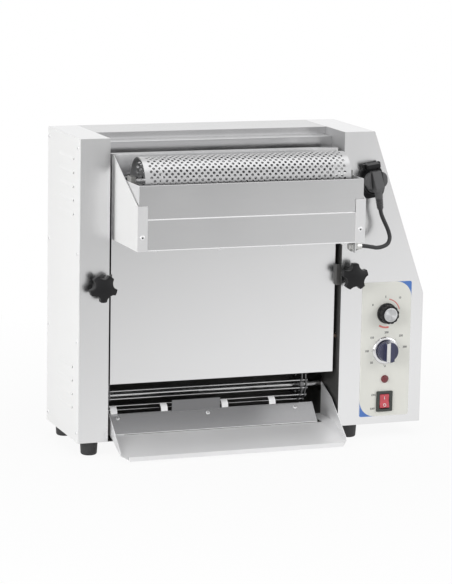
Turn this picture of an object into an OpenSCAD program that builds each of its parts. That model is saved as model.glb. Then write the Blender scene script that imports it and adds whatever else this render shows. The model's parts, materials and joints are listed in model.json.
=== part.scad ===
// Vertical bun toaster with a heated butter trough on its front.
// Every module is drawn on the bench: x from the left outer face, y back from
// the front plane of the columns, z up from the underside of the casing.

/* [Body] */
// Width over both side panels
body_w = 585; // [570:1:620]
// Height of the casing above its feet
body_h = 480; // [470:1:510]
// Depth of the casing, front plane to rear cover
body_d = 175; // [165:1:200]
// Thickness of the folded sheet
sheet_t = 1.2; // [0.8:0.1:1.5]
// Width of the left column
column_w = 49; // [46:1:56]
// Width of the right housing at its base
housing_w = 145; // [140:1:155]
// Width of the right housing at its top
housing_top_w = 52; // [48:1:70]
// Height at which the right housing starts to slope in
shoulder_z = 214; // [200:1:240]
// Width of the returns that the covers are screwed to
return_w = 16; // [14:1:20]

/* [Side louvres] */
// Length of a louvre in the side panels
louvre_l = 76; // [50:1:100]
// Distance from one louvre to the next
louvre_pitch = 21.6; // [16:0.2:24]
// How far a louvre stands out
louvre_out = 2.5; // [1.5:0.1:4]
// Height of a louvre's opening
louvre_h = 6; // [4:0.5:9]
// Front plane to the middle of the louvres
louvre_y = 69; // [60:1:90]
// Top of the casing down to the highest louvre
louvre_drop = 36; // [30:1:50]
// Height of the lowest louvre
louvre_low = 50; // [40:1:60]
// Louvres in the upper group
louvre_upper_n = 5; // [3:1:6]
// Louvres in the lower group
louvre_lower_n = 4; // [2:1:5]

/* [Feet] */
// Height of a rubber foot
foot_h = 22; // [18:1:30]
// Width of a foot at its top
foot_d = 28; // [24:1:34]
// Width of a foot where it stands
foot_low_d = 26; // [20:1:30]
// Left and front edge of the casing to the foot centres
foot_inset = 23; // [20:1:28]
// Inner wall of the right housing to the right feet
foot_right_in = 25; // [20:1:60]

/* [Top opening] */
// Front plane to the front edge of the top cover
slot_back = 80; // [76:1:90]
// Height of the lip on the front edge of the top cover
lip_h = 12; // [8:1:16]
// Depth of the ledge in front of that lip
ledge_d = 27; // [23:1:27]
// Height of the guide face below the ledge
guide_h = 28; // [20:1:30]

/* [Front cover] */
// Front plane back to the face of the front cover
cover_set = 12; // [10:0.5:14]
// Gap between the cover and the columns
cover_gap = 6.5; // [5:0.5:8]
// Height of the lower edge of the cover
cover_low = 89; // [85:1:95]
// Top of the casing down to the top of the cover
cover_drop = 26; // [22:1:30]
// Depth of the folded edges of the cover
cover_fold = 14; // [12:1:15]

/* [Platen] */
// Thickness of the hot plate
platen_t = 6; // [5:0.5:8]
// Diameter of the tubular elements
element_d = 8; // [6.5:0.5:9]
// Straight runs of the element, an even count
element_runs = 6; // [4:2:6]
// Edge of the hot plate to the first and last run
element_edge = 36; // [30:1:44]
// Width of the lane that a bun half runs down
lane_d = 24; // [22:1:30]

/* [Conveyor] */
// Height of the lower shaft
idler_z = 56; // [54:1:60]
// Top of the casing down to the drive shaft
drive_drop = 75; // [72:1:85]
// Radius of the chain round its wheels
loop_r = 25; // [23:0.5:26]
// Diameter of a cross rod
rod_d = 3; // [2.5:0.5:4]
// Links in each chain, an even count
link_n = 66; // [60:2:70]
// Inner wall of the left column to the left chain
chain_left_in = 8; // [8:0.5:12]
// Inner wall of the right housing to the right chain
chain_right_in = 34.5; // [30:0.5:36]
// Diameter of both shafts
shaft_d = 12; // [10:0.5:14]
// Teeth of every sprocket
tooth_n = 12; // [10:1:14]
// Height of the gear motor's shaft
motor_z = 300; // [290:1:310]

/* [Butter trough] */
// Front plane forward to the front of the box
trough_out = 110; // [105:1:120]
// Top of the front cover down to the floor of the box
trough_drop = 134; // [128:1:138]
// Side edge of the cover to the end plates
trough_inset = 2.3; // [2:0.1:8]
// Height of the end plates at the front
plate_front_h = 69; // [60:1:76]
// Height of the end plates at the back
plate_back_h = 132; // [126:1:133]
// Width of the fold on the front of an end plate
plate_fold = 16; // [12:1:22]
// Height of the front wall of the box
box_front_h = 48; // [40:1:56]
// Height of the tank's rim above the floor of the box
tank_rim = 100.5; // [96:0.5:104]
// Depth of the tank, front to back
tank_d = 104; // [100:1:110]
// Gap under the tank for its heater
tank_lift = 12; // [11:0.5:15]
// Diameter of the trough's heater
heater_d = 6.5; // [6:0.5:8]
// Outer radius of the perforated drum
drum_r = 37.5; // [34:0.5:39]
// Length of the drum
drum_l = 338; // [320:1:344]
// Front plane forward to the drum's axle
drum_out = 55; // [52:1:58]
// Height of the drum's axle above the floor of the box
drum_up = 100; // [96:1:106]
// Rows of holes round the drum, an even count
drum_rows = 48; // [36:2:50]
// Diameter of a hole in the drum
drum_hole_d = 4.5; // [3.5:0.5:5]
// Distance between the holes of one row
drum_hole_pitch = 9.6; // [8.5:0.1:12]
// Diameter of the drum's axle
axle_d = 8; // [6:0.5:10]

/* [Outlet] */
// Front plane forward to the lip of the landing tray
tray_out = 64; // [56:1:70]
// Height of the tray's bend above the underside of the casing
tray_bend_z = 8; // [7:0.5:9]
// Fall of the tray from its bend to its lip
tray_fall = 26; // [20:1:27]
// Height of the tray's lip
tray_lip = 7; // [5:0.5:10]
// Gap between the tray and the columns
tray_gap = 5; // [4:0.5:6]
// Length of the corner cut off the tray
tray_corner = 13; // [8:1:18]
// Height of the tray's side walls at the front plane
tray_wall = 24; // [18:1:26]
// Depth of the deflector
deflector_d = 25; // [22:1:27]
// Height of the deflector
deflector_h = 27; // [24:1:30]
// Inner wall of the right housing to the deflector's end
deflector_right_in = 35.7; // [30:0.1:40]
// Width of a finger on the deflector
finger_w = 11; // [8:1:14]

/* [Controls] */
// Width of the control plate
panel_w = 86.5; // [80:0.5:92]
// Height of the control plate
panel_h = 222; // [210:1:226]
// Right side to the middle of the controls
panel_x_in = 64.5; // [58:0.5:70]
// Height of the lower edge of the control plate
panel_low = 12.5; // [8:0.5:20]
// Thickness of the control plate
panel_t = 1; // [0.8:0.1:1.5]
// Height of the speed dial
speed_z = 183; // [176:1:188]
// Height of the temperature dial
heat_z = 121.5; // [114:0.5:126]
// Height of the lamp
lamp_z = 74; // [68:1:80]
// Height of the rocker switch
rocker_z = 37; // [33:0.5:42]
// Radius of the speed dial
speed_r = 17; // [15:0.5:20]
// Radius of the temperature dial
heat_r = 17.5; // [16:0.5:20]
// Radius of a star knob over its lobes
knob_r = 22; // [20:0.5:25]
// Height of the star knobs
knob_z = 249; // [240:1:275]
// Inner edge of a column to its knob
knob_in = 15.5; // [12:0.5:20]

/* [Lead and socket] */
// Inner wall of the right housing to the socket's centre
socket_in = 47; // [44:0.5:49]
// Top of the casing down to the socket's centre
socket_drop = 81.5; // [76:0.5:86]
// Height of the socket's flange
socket_h = 50; // [46:1:52]
// Diameter of the lead
cord_d = 6.5; // [5:0.5:7]

/* [Hidden] */
$fn = 48;
over = 1;          // how far a cutter runs past a face
run_gap = 0.05;    // radial clearance of a running fit
slip_gap = 0.3;    // clearance between pieces that slide past each other

t = sheet_t;
rivet_h = 1.2;
screw_d = 3;
screw_head_d = 6.4;
screw_head_h = 1.4;
gland_out = 16;

// Places of the casing
xi = body_w - housing_w;                  // inner wall of the right housing
xm = (column_w + xi) / 2;                 // middle of the lane
lane_w = xi - column_w;
y_front = (trough_out + t + rivet_h - body_d - gland_out) / 2;
slope = (housing_w - housing_top_w) / (body_h - shoulder_z);
slope_t = t * sqrt(1 + slope * slope);    // sheet measured level across the slope
shoulder_in_z = shoulder_z - (slope_t - t) / slope;
foot_xs = [foot_inset, xi + foot_right_in];
foot_ys = [foot_inset - 6, body_d - foot_inset + 1];

// Places of the lane, front to back
cx0 = column_w + cover_gap;
cx1 = xi - cover_gap;
cover_top = body_h - cover_drop;
cover_back = cover_set + t;
element_y = cover_back + slip_gap + element_d / 2;
platen_y = element_y + element_d / 2 + run_gap;
platen_back = platen_y + platen_t;
belt_y = platen_back + lane_d;
shaft_y = belt_y + rod_d / 2 + loop_r;
drive_z = body_h - drive_drop;
guide_y = slot_back - ledge_d;
guide_z = body_h - lip_h;
platen_x0 = column_w + 37;
platen_z0 = cover_low + 22;
platen_z1 = drive_z + loop_r;
run_pitch = (platen_z1 - platen_z0 - 2 * element_edge) / (element_runs - 1);
element_z0 = platen_z0 + element_edge;
element_x0 = platen_x0 + run_pitch / 2 + element_d;
element_x1 = 2 * xm - element_x0;
element_end = xi + t + 14;

// Conveyor
run_l = drive_z - idler_z;
arc_l = PI * loop_r;
link_pitch = 2 * (run_l + arc_l) / link_n;
link_r = 3.5;
link_t = 1.5;
rod_over = 1;
wheel_r = loop_r - rod_d / 2 - slip_gap;
chain_wide = 11.5;
chain_in_x = column_w + chain_left_in;
lane_m = (chain_in_x + xi - chain_right_in) / 2;   // middle between the chains
wheel_x0 = chain_in_x + 2 * link_t + 2 * slip_gap;
wheel_w = chain_wide - 4 * link_t - 4 * slip_gap;
bush_d = 18;
bush_flange_d = 26;
bush_flange_t = 2.5;
bush_l = 7;
chain_x0 = xi + 12;
chain_w = 6;
drive_wheel_r = 18;
drive_chain_r = drive_wheel_r + slip_gap;
gearbox_x0 = chain_x0 + chain_w + 6;
gearbox_l = 36;
gearbox_r = 36;
motor_d = 60;
motor_l = 34;
motor_shaft_d = 10;

// Butter trough
floor_z = cover_top - trough_drop;
tx0 = cx0 + trough_inset;
tx1 = cx1 - trough_inset;
tank_gap = 0.4;
tank_side_gap = 1.6;
tank_x0 = tx0 + t + tank_side_gap;
tank_x1 = tx1 - t - tank_side_gap;
tank_y0 = t + tank_gap - trough_out;
tank_y1 = tank_y0 + tank_d;
tank_z0 = floor_z + tank_lift;
tank_z1 = floor_z + tank_rim;
drum_z = floor_z + drum_up;
drum_x0 = xm - drum_l / 2;
drum_margin = 5.5;
bearing_w = 7;
bearing_d = 20;
bearing_over = 8;
bearing_under = 22;
spider_inset = 26;
heater_z = tank_z0 - slip_gap - heater_d / 2;
heater_r = 34;
saddle_w = 10;
rivet_z = floor_z + 21.4;
rivet_d = 8;

// Outlet
tray_x0 = column_w + tray_gap;
tray_x1 = xi - tray_gap;
tray_tongue = 21;
tray_back = 60;
tray_lip_z = tray_bend_z - tray_fall;
deflector_x0 = tray_x0 + t + 1;
deflector_x1 = xi - deflector_right_in;
deflector_w = deflector_x1 - deflector_x0;
deflector_z0 = tray_bend_z + 2 * t + slip_gap;
support_x0 = tray_x0 + t + tray_tongue + 4;
deflector_top = deflector_z0 + deflector_h;
finger_xs = [for (f = [0.0307, 0.273, 0.568, 0.8026]) deflector_x0 + f * deflector_w];
guard_x0 = deflector_x0 + 0.307 * deflector_w;
guard_x1 = deflector_x0 + 0.5415 * deflector_w;

// Controls
panel_x = body_w - panel_x_in;
panel_r = 3;
stem_d = 6;
stem_l = 12;
dial_gap = 0.4;
knob_t = 17;
knob_stand = 12;
stud_d = 8;
bracket_t = 3;
bracket_h = 34;
bracket_y = t + 4;
rocker_w = 16.4;
rocker_r = 12.2;
bezel_w = 28.5;
bezel_h = 34;
bezel_t = 2.5;
case_w = 21.5;
case_h = 27.5;
case_d = 22;
rocker_y = 2;

// Socket, plug and lead
sx = xi + socket_in;
sz = body_h - socket_drop;
socket_t = 6;
socket_w = 38;
boss_r = 18;
boss_l = 10;
socket_back = 26;
recess_r = 15.5;
plug_tilt = 8.4;
plug_y = -(socket_t + boss_l);
plug_disc_t = 12;
grip_w = 36;
grip_h = 27;
grip_up = 6;
ridge_w = 15;
ridge_low = 12;
cord_y = plug_y - 11;
collar_l = 11;
relief_l = 18;
lid_pin_d = 4;
lid_pin_y = -8;
lid_pin_z = 29;
lid_w = 22;
lid_l = 14;
bracket_x = tx1 + 0.8;
gland_y = 50 - trough_out;
gland_z = floor_z - 14;
lead_shift = [xi - 440, 0, body_h - 480];
route_points = [[493, -27, 359], [494, -28, 352], [497, -30, 343], [501, -33, 333], [504, -37, 323],
    [504, -42, 314], [499, -47, 306], [489, -51, 302], [477, -54, 301], [467, -57, 303],
    [457, -59, 305], [448, -60, 306], [438, -60, 306]];
route = [for (p = route_points) p + lead_shift];

// Colours
steel = "#c9cacb";
bright = "#e2e3e4";
dark_steel = "#85868a";
black = "#1e1e1f";
grey = "#6b6b6b";

// Helpers
module bench() translate([-body_w / 2, y_front, foot_h]) children();
module span(p, q) translate(p) cube(q - p);
module bar_x(x0, x1, y, z, d) translate([x0, y, z]) rotate([0, 90, 0]) cylinder(h = x1 - x0, d = d);
module bar_y(y0, y1, x, z, d) translate([x, y1, z]) rotate([90, 0, 0]) cylinder(h = y1 - y0, d = d);
module cone_y(y0, y1, x, z, d0, d1)
    translate([x, y1, z]) rotate([90, 0, 0]) cylinder(h = y1 - y0, d1 = d1, d2 = d0);
module out_x(x0, x1) translate([x0, 0, 0]) rotate([90, 0, 90]) linear_extrude(x1 - x0) children();
module out_y(y0, y1) translate([0, y1, 0]) rotate([90, 0, 0]) linear_extrude(y1 - y0) children();
module both_sides() {
    children();
    translate([2 * xm, 0, 0]) mirror([1, 0, 0]) children();
}
module rounded(w, h, r) {
    square([w - 2 * r, h], center = true);
    square([w, h - 2 * r], center = true);
    for (i = [-1, 1], j = [-1, 1]) translate([i * (w / 2 - r), j * (h / 2 - r)]) circle(r);
}
module slot(l, w) {
    square([l - w, w], center = true);
    for (i = [-1, 1]) translate([i * (l - w) / 2, 0]) circle(d = w);
}

// A folded sheet: a path of its outer face, thickened to the left of its run
function unit(v) = v / norm(v);
function left_of(v) = [-v[1], v[0]];
function seg_normal(p, i) = left_of(unit(p[i + 1] - p[i]));
function miter(p, i) = i == 0 ? seg_normal(p, 0)
    : i == len(p) - 1 ? seg_normal(p, i - 1)
    : let (a = seg_normal(p, i - 1), b = seg_normal(p, i)) (a + b) / (1 + a * b);
function strip(p) = concat(p, [for (i = [len(p) - 1 : -1 : 0]) p[i] + t * miter(p, i)]);

// Screws that hold the panels
side_zs = [15, 160, 300, body_h - 15];
right_zs = [15, shoulder_z / 2, shoulder_z - 20];
side_ys = [t + return_w / 2, body_d - t - return_w / 2];
rear_xs = [2 * t + return_w / 2, body_w - 2 * t - return_w / 2];
rear_low = 24;
rear_zs = [rear_low, shoulder_z - 30];
defl_xs = [for (f = [0.0434, 0.478, 0.9086]) deflector_x0 + f * deflector_w];
floor_xs = [for (f = [-0.42, -0.1417, 0.1315, 0.408]) xm + f * (tx1 - tx0)];
module pan_head() {
    cylinder(h = screw_head_h, d1 = screw_head_d, d2 = 0.7 * screw_head_d);
    translate([0, 0, -2 * t - 2]) cylinder(h = 2 * t + 2, d = screw_d);
}
module floor_screw() {
    cylinder(h = 2.4, d1 = screw_head_d + 0.6, d2 = 0.78 * screw_head_d);
    translate([0, 0, -2 * t - 2]) cylinder(h = 2 * t + 2, d = screw_d);
}
module side_places() for (z = side_zs, y = side_ys) translate([0, y, z]) rotate([0, -90, 0]) children();
module right_places()
    for (z = right_zs, y = side_ys) translate([body_w, y, z]) rotate([0, 90, 0]) children();
module rear_places() for (z = rear_zs, x = rear_xs) translate([x, body_d, z]) rotate([-90, 0, 0]) children();
module screw_hole() translate([0, 0, -5]) cylinder(h = 10, d = screw_d + 2 * slip_gap);
defl_angle = atan2(deflector_h, deflector_d);
module deflector_places()
    for (x = defl_xs)
        translate([x, 0.78 * deflector_d, deflector_z0 + 0.78 * deflector_h])
            rotate([defl_angle, 0, 0]) children();
module floor_places() for (x = floor_xs) translate([x, 6 - trough_out, floor_z]) rotate([180, 0, 0]) children();
module panel_screws() bench() color(bright) {
    side_places() pan_head();
    right_places() pan_head();
    rear_places() pan_head();
    deflector_places() pan_head();
    floor_places() floor_screw();
}

// Casing
module base_plate() bench() color(steel) difference() {
    span([t, t, 0], [body_w - t, body_d - t, t]);
    for (x = foot_xs, y = foot_ys) translate([x, y, -over]) cylinder(h = t + 2 * over, d = 4.4);
}
module wall_holes(x) {
    for (z = [idler_z, drive_z]) bar_x(x - over, x + t + over, shaft_y, z, bush_d + 2 * run_gap);
    span([x - over, bracket_y - over, knob_z - bracket_h / 2 - over],
        [x + t + over, bracket_y + bracket_t + over, knob_z + bracket_h / 2 + over]);
}
module left_frame() bench() color(steel) difference() {
    union() {
        span([t, 0, 0], [column_w, t, body_h]);
        span([column_w - t, t, t], [column_w, body_d - t, body_h - t]);
        span([t, t, body_h - t], [column_w, body_d - t, body_h]);
        span([t, t, t], [2 * t, t + return_w, body_h - t]);
        span([t, body_d - t - return_w, t], [2 * t, body_d - t, body_h - t]);
        span([2 * t, body_d - 2 * t, t], [2 * t + return_w, body_d - t, body_h - t]);
    }
    bar_y(-over, t + over, column_w - knob_in, knob_z, stud_d + 1);
    wall_holes(column_w - t);
    side_places() screw_hole();
    rear_places() screw_hole();
}
lower_zs = [for (i = [0 : louvre_lower_n - 1]) louvre_low + i * louvre_pitch];
upper_zs = [for (i = [0 : louvre_upper_n - 1]) body_h - louvre_drop - i * louvre_pitch];
module louvre_holes(zs) for (z = zs)
    span([-over, louvre_y - louvre_l / 2, z], [t + over, louvre_y + louvre_l / 2, z + louvre_h]);
module louvre_hoods(zs) for (z = zs) out_y(louvre_y - louvre_l / 2, louvre_y + louvre_l / 2)
    polygon([[0, z + louvre_h + 2], [-louvre_out, z + 1], [-louvre_out, z], [t - louvre_out, z], [t, z + louvre_h + 1],
        [t, z + louvre_h + 2]]);
module left_side_panel() bench() color("#f1f1f0") {
    difference() {
        span([0, 0, 0], [t, body_d, body_h]);
        side_places() screw_hole();
        louvre_holes(concat(lower_zs, upper_zs));
    }
    louvre_hoods(concat(lower_zs, upper_zs));
}
function slant_x(z) = body_w - max(0, z - shoulder_z) * slope;
function slant_in(z) = slant_x(z) - slope_t;
function housing_face(x0) = [[x0, 0], [body_w - t, 0], [body_w - t, shoulder_in_z],
    [slant_in(body_h), body_h], [x0, body_h]];
module right_frame() bench() color(steel) difference() {
    union() {
        out_y(0, t) polygon(housing_face(xi));
        span([xi, t, t], [xi + t, body_d - t, body_h - t]);
        span([xi, t, body_h - t], [slant_in(body_h), body_d - t, body_h]);
        for (y = [t, body_d - t - return_w])
            span([body_w - 2 * t, y, t], [body_w - t, y + return_w, shoulder_z - 4]);
        span([body_w - 2 * t - return_w, body_d - 2 * t, t], [body_w - 2 * t, body_d - t, shoulder_z - 4]);
    }
    bar_y(-over, t + over, xi + knob_in, knob_z, stud_d + 1);
    wall_holes(xi);
    for (i = [0, element_runs - 1])
        bar_x(xi - over, xi + t + over, element_y, element_z0 + i * run_pitch, element_d + 1);
    bar_y(-over, t + over, sx, sz, 2 * (boss_r - 1) + 2 * slip_gap);
    for (z = [speed_z, heat_z]) bar_y(-over, t + over, panel_x, z, stem_d + 2);
    bar_y(-over, t + over, panel_x, lamp_z, lamp_d + 2 * slip_gap);
    span([panel_x - case_w / 2 - slip_gap, -over, rocker_z - case_h / 2 - slip_gap],
        [panel_x + case_w / 2 + slip_gap, t + over, rocker_z + case_h / 2 + slip_gap]);
    right_places() screw_hole();
    rear_places() screw_hole();
}
module from_right() translate([body_w, 0, 0]) mirror([1, 0, 0]) children();
module right_side_panel() bench() color(steel) {
    difference() {
        out_y(0, body_d) polygon([[body_w, 0], [body_w, shoulder_z], [slant_x(body_h), body_h],
            [slant_in(body_h), body_h], [body_w - t, shoulder_in_z], [body_w - t, 0]]);
        right_places() screw_hole();
        from_right() louvre_holes(lower_zs);
    }
    from_right() louvre_hoods(lower_zs);
}
mains_x = body_w - 50;
mains_z = 45;
module rear_cover() bench() color(steel) difference() {
    out_y(body_d - t, body_d) polygon(housing_face(t));
    rear_places() screw_hole();
    bar_y(body_d - t - over, body_d + over, mains_x, mains_z, 16 + 2 * slip_gap);
    for (i = [0 : 7]) translate([xm + (i - 3.5) * 0.087 * lane_w, 0, 0]) out_y(body_d - t - over, body_d + over)
        translate([0, body_h - 60]) rotate(90) slot(50, 4);
    for (i = [0 : 4]) translate([mains_x - 30 + 15 * i, 0, 0]) out_y(body_d - t - over, body_d + over)
        translate([0, 130]) rotate(90) slot(60, 4);
}
module top_cover() bench() color(bright) {
    span([column_w, slot_back, body_h - t], [xi, body_d - t, body_h]);
    span([column_w, slot_back, body_h - lip_h], [xi, slot_back + t, body_h - t]);
}
module feed_guide() bench() color(steel) out_x(column_w, xi)
    polygon(strip([[slot_back + return_w, guide_z], [guide_y, guide_z], [guide_y, guide_z - guide_h]]));
module front_cover() bench() color(bright) difference() {
    union() {
        span([cx0, cover_set, cover_low], [cx1, cover_back, cover_top]);
        span([cx0, cover_back, cover_top - t], [cx1, cover_set + cover_fold, cover_top]);
        span([cx0, cover_back, cover_low], [cx1, cover_set + cover_fold / 2, cover_low + t]);
        both_sides() span([cx0, cover_back, cover_low], [cx0 + t, cover_set + cover_fold, cover_top - t]);
    }
    for (i = [0, element_runs - 1])
        bar_x(cx1 - t - over, cx1 + over, element_y, element_z0 + i * run_pitch, element_d + 1);
}
module clamp_brackets() bench() color(dark_steel) both_sides() difference() {
    union() {
        span([column_w - knob_in - 14, bracket_y, knob_z - bracket_h / 2],
            [cx0, bracket_y + bracket_t, knob_z + bracket_h / 2]);
        span([cx0 - bracket_t, bracket_y, knob_z - bracket_h / 2],
            [cx0, cover_set + cover_fold, knob_z + bracket_h / 2]);
    }
    bar_y(bracket_y - over, bracket_y + bracket_t + over, column_w - knob_in, knob_z, stud_d + 2 * run_gap);
}
module feet() bench() color("#3a3a3a") for (x = foot_xs, y = foot_ys) translate([x, y, -foot_h])
    rotate_extrude() polygon([[5.5, 0], [foot_low_d / 2 - 3, 0], [foot_low_d / 2 - 0.9, 0.9], [foot_low_d / 2, 3], [foot_d / 2, foot_h - 3], [foot_d / 2, foot_h],
        [2.2, foot_h], [2.2, foot_h - 8], [5.5, foot_h - 8]]);
module foot_screws() bench() color(bright) for (x = foot_xs, y = foot_ys) translate([x, y, 0]) {
    translate([0, 0, -11]) cylinder(h = 3, d = 9);
    translate([0, 0, -8]) cylinder(h = 8 + t + 4, d = 4);
    translate([0, 0, t]) difference() {
        cylinder(h = 3, d = 8, $fn = 6);
        translate([0, 0, -over]) cylinder(h = 3 + 2 * over, d = 4 - 2 * run_gap);
    }
}

// Hot plate
module heating_platen() bench() color("#6e6c68")
    span([platen_x0, platen_y, platen_z0], [2 * xm - platen_x0, platen_back, platen_z1]);
module bend(z, side) translate([side < 0 ? element_x0 : element_x1, element_y, z + run_pitch / 2])
    rotate([90, 0, 0]) rotate([0, 0, side < 0 ? 90 : -90])
    rotate_extrude(angle = 180) translate([run_pitch / 2, 0]) circle(d = element_d);
module platen_element() bench() color("#8d7f74") for (i = [0 : element_runs - 1]) {
    z = element_z0 + i * run_pitch;
    last = i == element_runs - 1;
    bar_x(element_x0, i == 0 || last ? element_end : element_x1, element_y, z, element_d);
    if (!last) bend(z, i % 2 == 0 ? -1 : 1);
}
module platen_standoffs() bench() color(bright) both_sides() for (z = [platen_z0 + 9, platen_z1 - 9])
    bar_y(cover_back, platen_y, platen_x0 + 10, z, 8);

// Conveyor: a point of the chain loop at the distance s along it, as [y, z]
function loop_at(s) = s < run_l ? [shaft_y - loop_r, drive_z - s]
    : s < run_l + arc_l ? let (a = 180 + (s - run_l) / loop_r * 180 / PI)
        [shaft_y + loop_r * cos(a), idler_z + loop_r * sin(a)]
    : s < 2 * run_l + arc_l ? [shaft_y + loop_r, idler_z + s - run_l - arc_l]
    : let (a = (s - 2 * run_l - arc_l) / loop_r * 180 / PI)
        [shaft_y + loop_r * cos(a), drive_z + loop_r * sin(a)];
module conveyor_rods() bench() color("#a9a9a6") for (i = [0 : link_n - 1]) {
    p = loop_at(i * link_pitch);
    bar_x(chain_in_x - rod_over, xi - chain_right_in + rod_over, p[0], p[1], rod_d);
}
module link_plate(i) {
    p = loop_at(i * link_pitch);
    q = loop_at(((i + 1) % link_n) * link_pitch);
    translate(p) circle(link_r);
    translate(q) circle(link_r);
    translate(p) rotate(atan2(q[1] - p[1], q[0] - p[0])) translate([0, -0.7 * link_r])
        square([norm(q - p), 1.4 * link_r]);
}
module chain() for (i = [0 : link_n - 1], side = [0, 1]) {
    step = (i % 2) * (link_t + slip_gap);
    x = chain_in_x + (side == 0 ? step : chain_wide - link_t - step);
    out_x(x, x + link_t) link_plate(i);
}
module right_lane() translate([2 * lane_m, 0, 0]) mirror([1, 0, 0]) children();
module both_chains() {
    children();
    right_lane() children();
}
module left_chain() bench() color(dark_steel) chain();
module right_chain() bench() color(dark_steel) right_lane() chain();
module drive_shaft() bench() color(bright)
    bar_x(column_w - 8, chain_x0 + chain_w + 3, shaft_y, drive_z, shaft_d);
collar_x = xm - 20.5;
module idler_shaft() bench() color(bright) {
    bar_x(column_w - 8, xi + 8, shaft_y, idler_z, shaft_d);
    bar_x(collar_x, collar_x + 4, shaft_y, idler_z, shaft_d + 4);
}
module toothed(tip, bore) difference() {
    circle(tip);
    for (i = [0 : tooth_n - 1]) rotate(i * 360 / tooth_n) translate([tip + 1, 0]) circle(0.14 * tip);
    circle(d = bore + 2 * run_gap);
}
module on_shaft(x0, x1, z) translate([0, shaft_y, z]) out_x(x0, x1) children();
module drive_sprockets() bench() color(dark_steel) {
    both_chains() on_shaft(wheel_x0, wheel_x0 + wheel_w, drive_z) toothed(wheel_r, shaft_d);
    on_shaft(chain_x0, chain_x0 + chain_w, drive_z) toothed(drive_wheel_r, shaft_d);
}
module idler_wheels() bench() color(dark_steel) both_chains()
    on_shaft(wheel_x0, wheel_x0 + wheel_w, idler_z) difference() {
        circle(wheel_r);
        circle(d = shaft_d + 2 * run_gap);
        for (i = [0 : 4]) rotate(i * 72) translate([(wheel_r + shaft_d / 2) / 2, 0]) circle(0.17 * wheel_r);
    }
module bush(z) difference() {
    union() {
        bar_x(column_w - bush_l, column_w, shaft_y, z, bush_d);
        bar_x(column_w, column_w + bush_flange_t, shaft_y, z, bush_flange_d);
    }
    bar_x(column_w - bush_l - over, column_w + bush_flange_t + over, shaft_y, z, shaft_d + 2 * run_gap);
}
module bearing_bushes() bench() color("#b08d4a") both_sides() {
    bush(idler_z);
    bush(drive_z);
}
module gear_motor() bench() color("#5d6166") difference() {
    union() {
        span([gearbox_x0, shaft_y - gearbox_r, motor_z - gearbox_r],
            [gearbox_x0 + gearbox_l, shaft_y + gearbox_r, motor_z + gearbox_r]);
        bar_x(gearbox_x0 + gearbox_l, gearbox_x0 + gearbox_l + motor_l, shaft_y, motor_z, motor_d);
        for (i = [-1, 1], j = [-1, 1]) bar_x(xi + t, gearbox_x0, shaft_y + i * (gearbox_r - 5),
            motor_z + j * (gearbox_r - 5), 8);
    }
    bar_x(gearbox_x0 - over, gearbox_x0 + 12, shaft_y, motor_z, motor_shaft_d + 2 * run_gap);
}
module motor_sprocket() bench() color(dark_steel) {
    bar_x(chain_x0 - 2, gearbox_x0 + 11, shaft_y, motor_z, motor_shaft_d);
    on_shaft(chain_x0, chain_x0 + chain_w, motor_z) toothed(drive_wheel_r, motor_shaft_d - 4 * run_gap);
}
module stadium(r) {
    circle(r);
    translate([0, drive_z - motor_z]) circle(r);
    translate([-r, 0]) square([2 * r, drive_z - motor_z]);
}
module drive_chain() bench() color("#4c4c4e") on_shaft(chain_x0, chain_x0 + chain_w, motor_z) difference() {
    stadium(drive_chain_r + 5.5);
    stadium(drive_chain_r);
}
terminal_p = 14;
terminal_d = 26;
terminal_h = 22;
terminal_x = xi + 40;
terminal_y = body_d - terminal_d - 34;
module terminal_block() bench() color("#e8e4d6") difference() {
    span([terminal_x, terminal_y, t], [terminal_x + 5 * terminal_p, terminal_y + terminal_d, t + terminal_h]);
    for (i = [0 : 4]) translate([terminal_x + (i + 0.5) * terminal_p, terminal_y + terminal_d / 2, t + terminal_h / 2])
        cylinder(h = terminal_h, d = terminal_p / 2);
}
thermostat_w = 36;
thermostat_d = 30;
module thermostat() bench() color("#d9d4c4") difference() {
    span([panel_x - thermostat_w / 2, t, heat_z - thermostat_w / 2],
        [panel_x + thermostat_w / 2, t + thermostat_d, heat_z + thermostat_w / 2]);
    bar_y(t - over, t + stem_l + over, panel_x, heat_z, stem_d + 2 * run_gap);
}
pot_d = 26;
pot_l = 14;
board_w = 54;
board_t = 2;
module speed_controller() bench() color("#3f6b4f") difference() {
    union() {
        bar_y(t, t + pot_l, panel_x, speed_z, pot_d);
        span([panel_x - 0.6 * board_w, t + pot_l, speed_z - 0.45 * board_w],
            [panel_x + 0.4 * board_w, t + pot_l + board_t, speed_z + 0.45 * board_w]);
    }
    bar_y(t - over, t + stem_l + over, panel_x, speed_z, stem_d + 2 * run_gap);
}
module mains_gland() bench() color(black) difference() {
    union() {
        bar_y(body_d - 12, body_d, mains_x, mains_z, 16);
        translate([mains_x, body_d + 6, mains_z]) rotate([90, 0, 0]) cylinder(h = 6, d = 24, $fn = 6);
        cone_y(body_d + 6, body_d + gland_out, mains_x, mains_z, 20, 14);
        translate([mains_x, body_d - t, mains_z]) rotate([90, 0, 0]) cylinder(h = 5, d = 24, $fn = 6);
    }
    bar_y(body_d - 12 - over, body_d + gland_out + over, mains_x, mains_z, 8.2);
}

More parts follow.
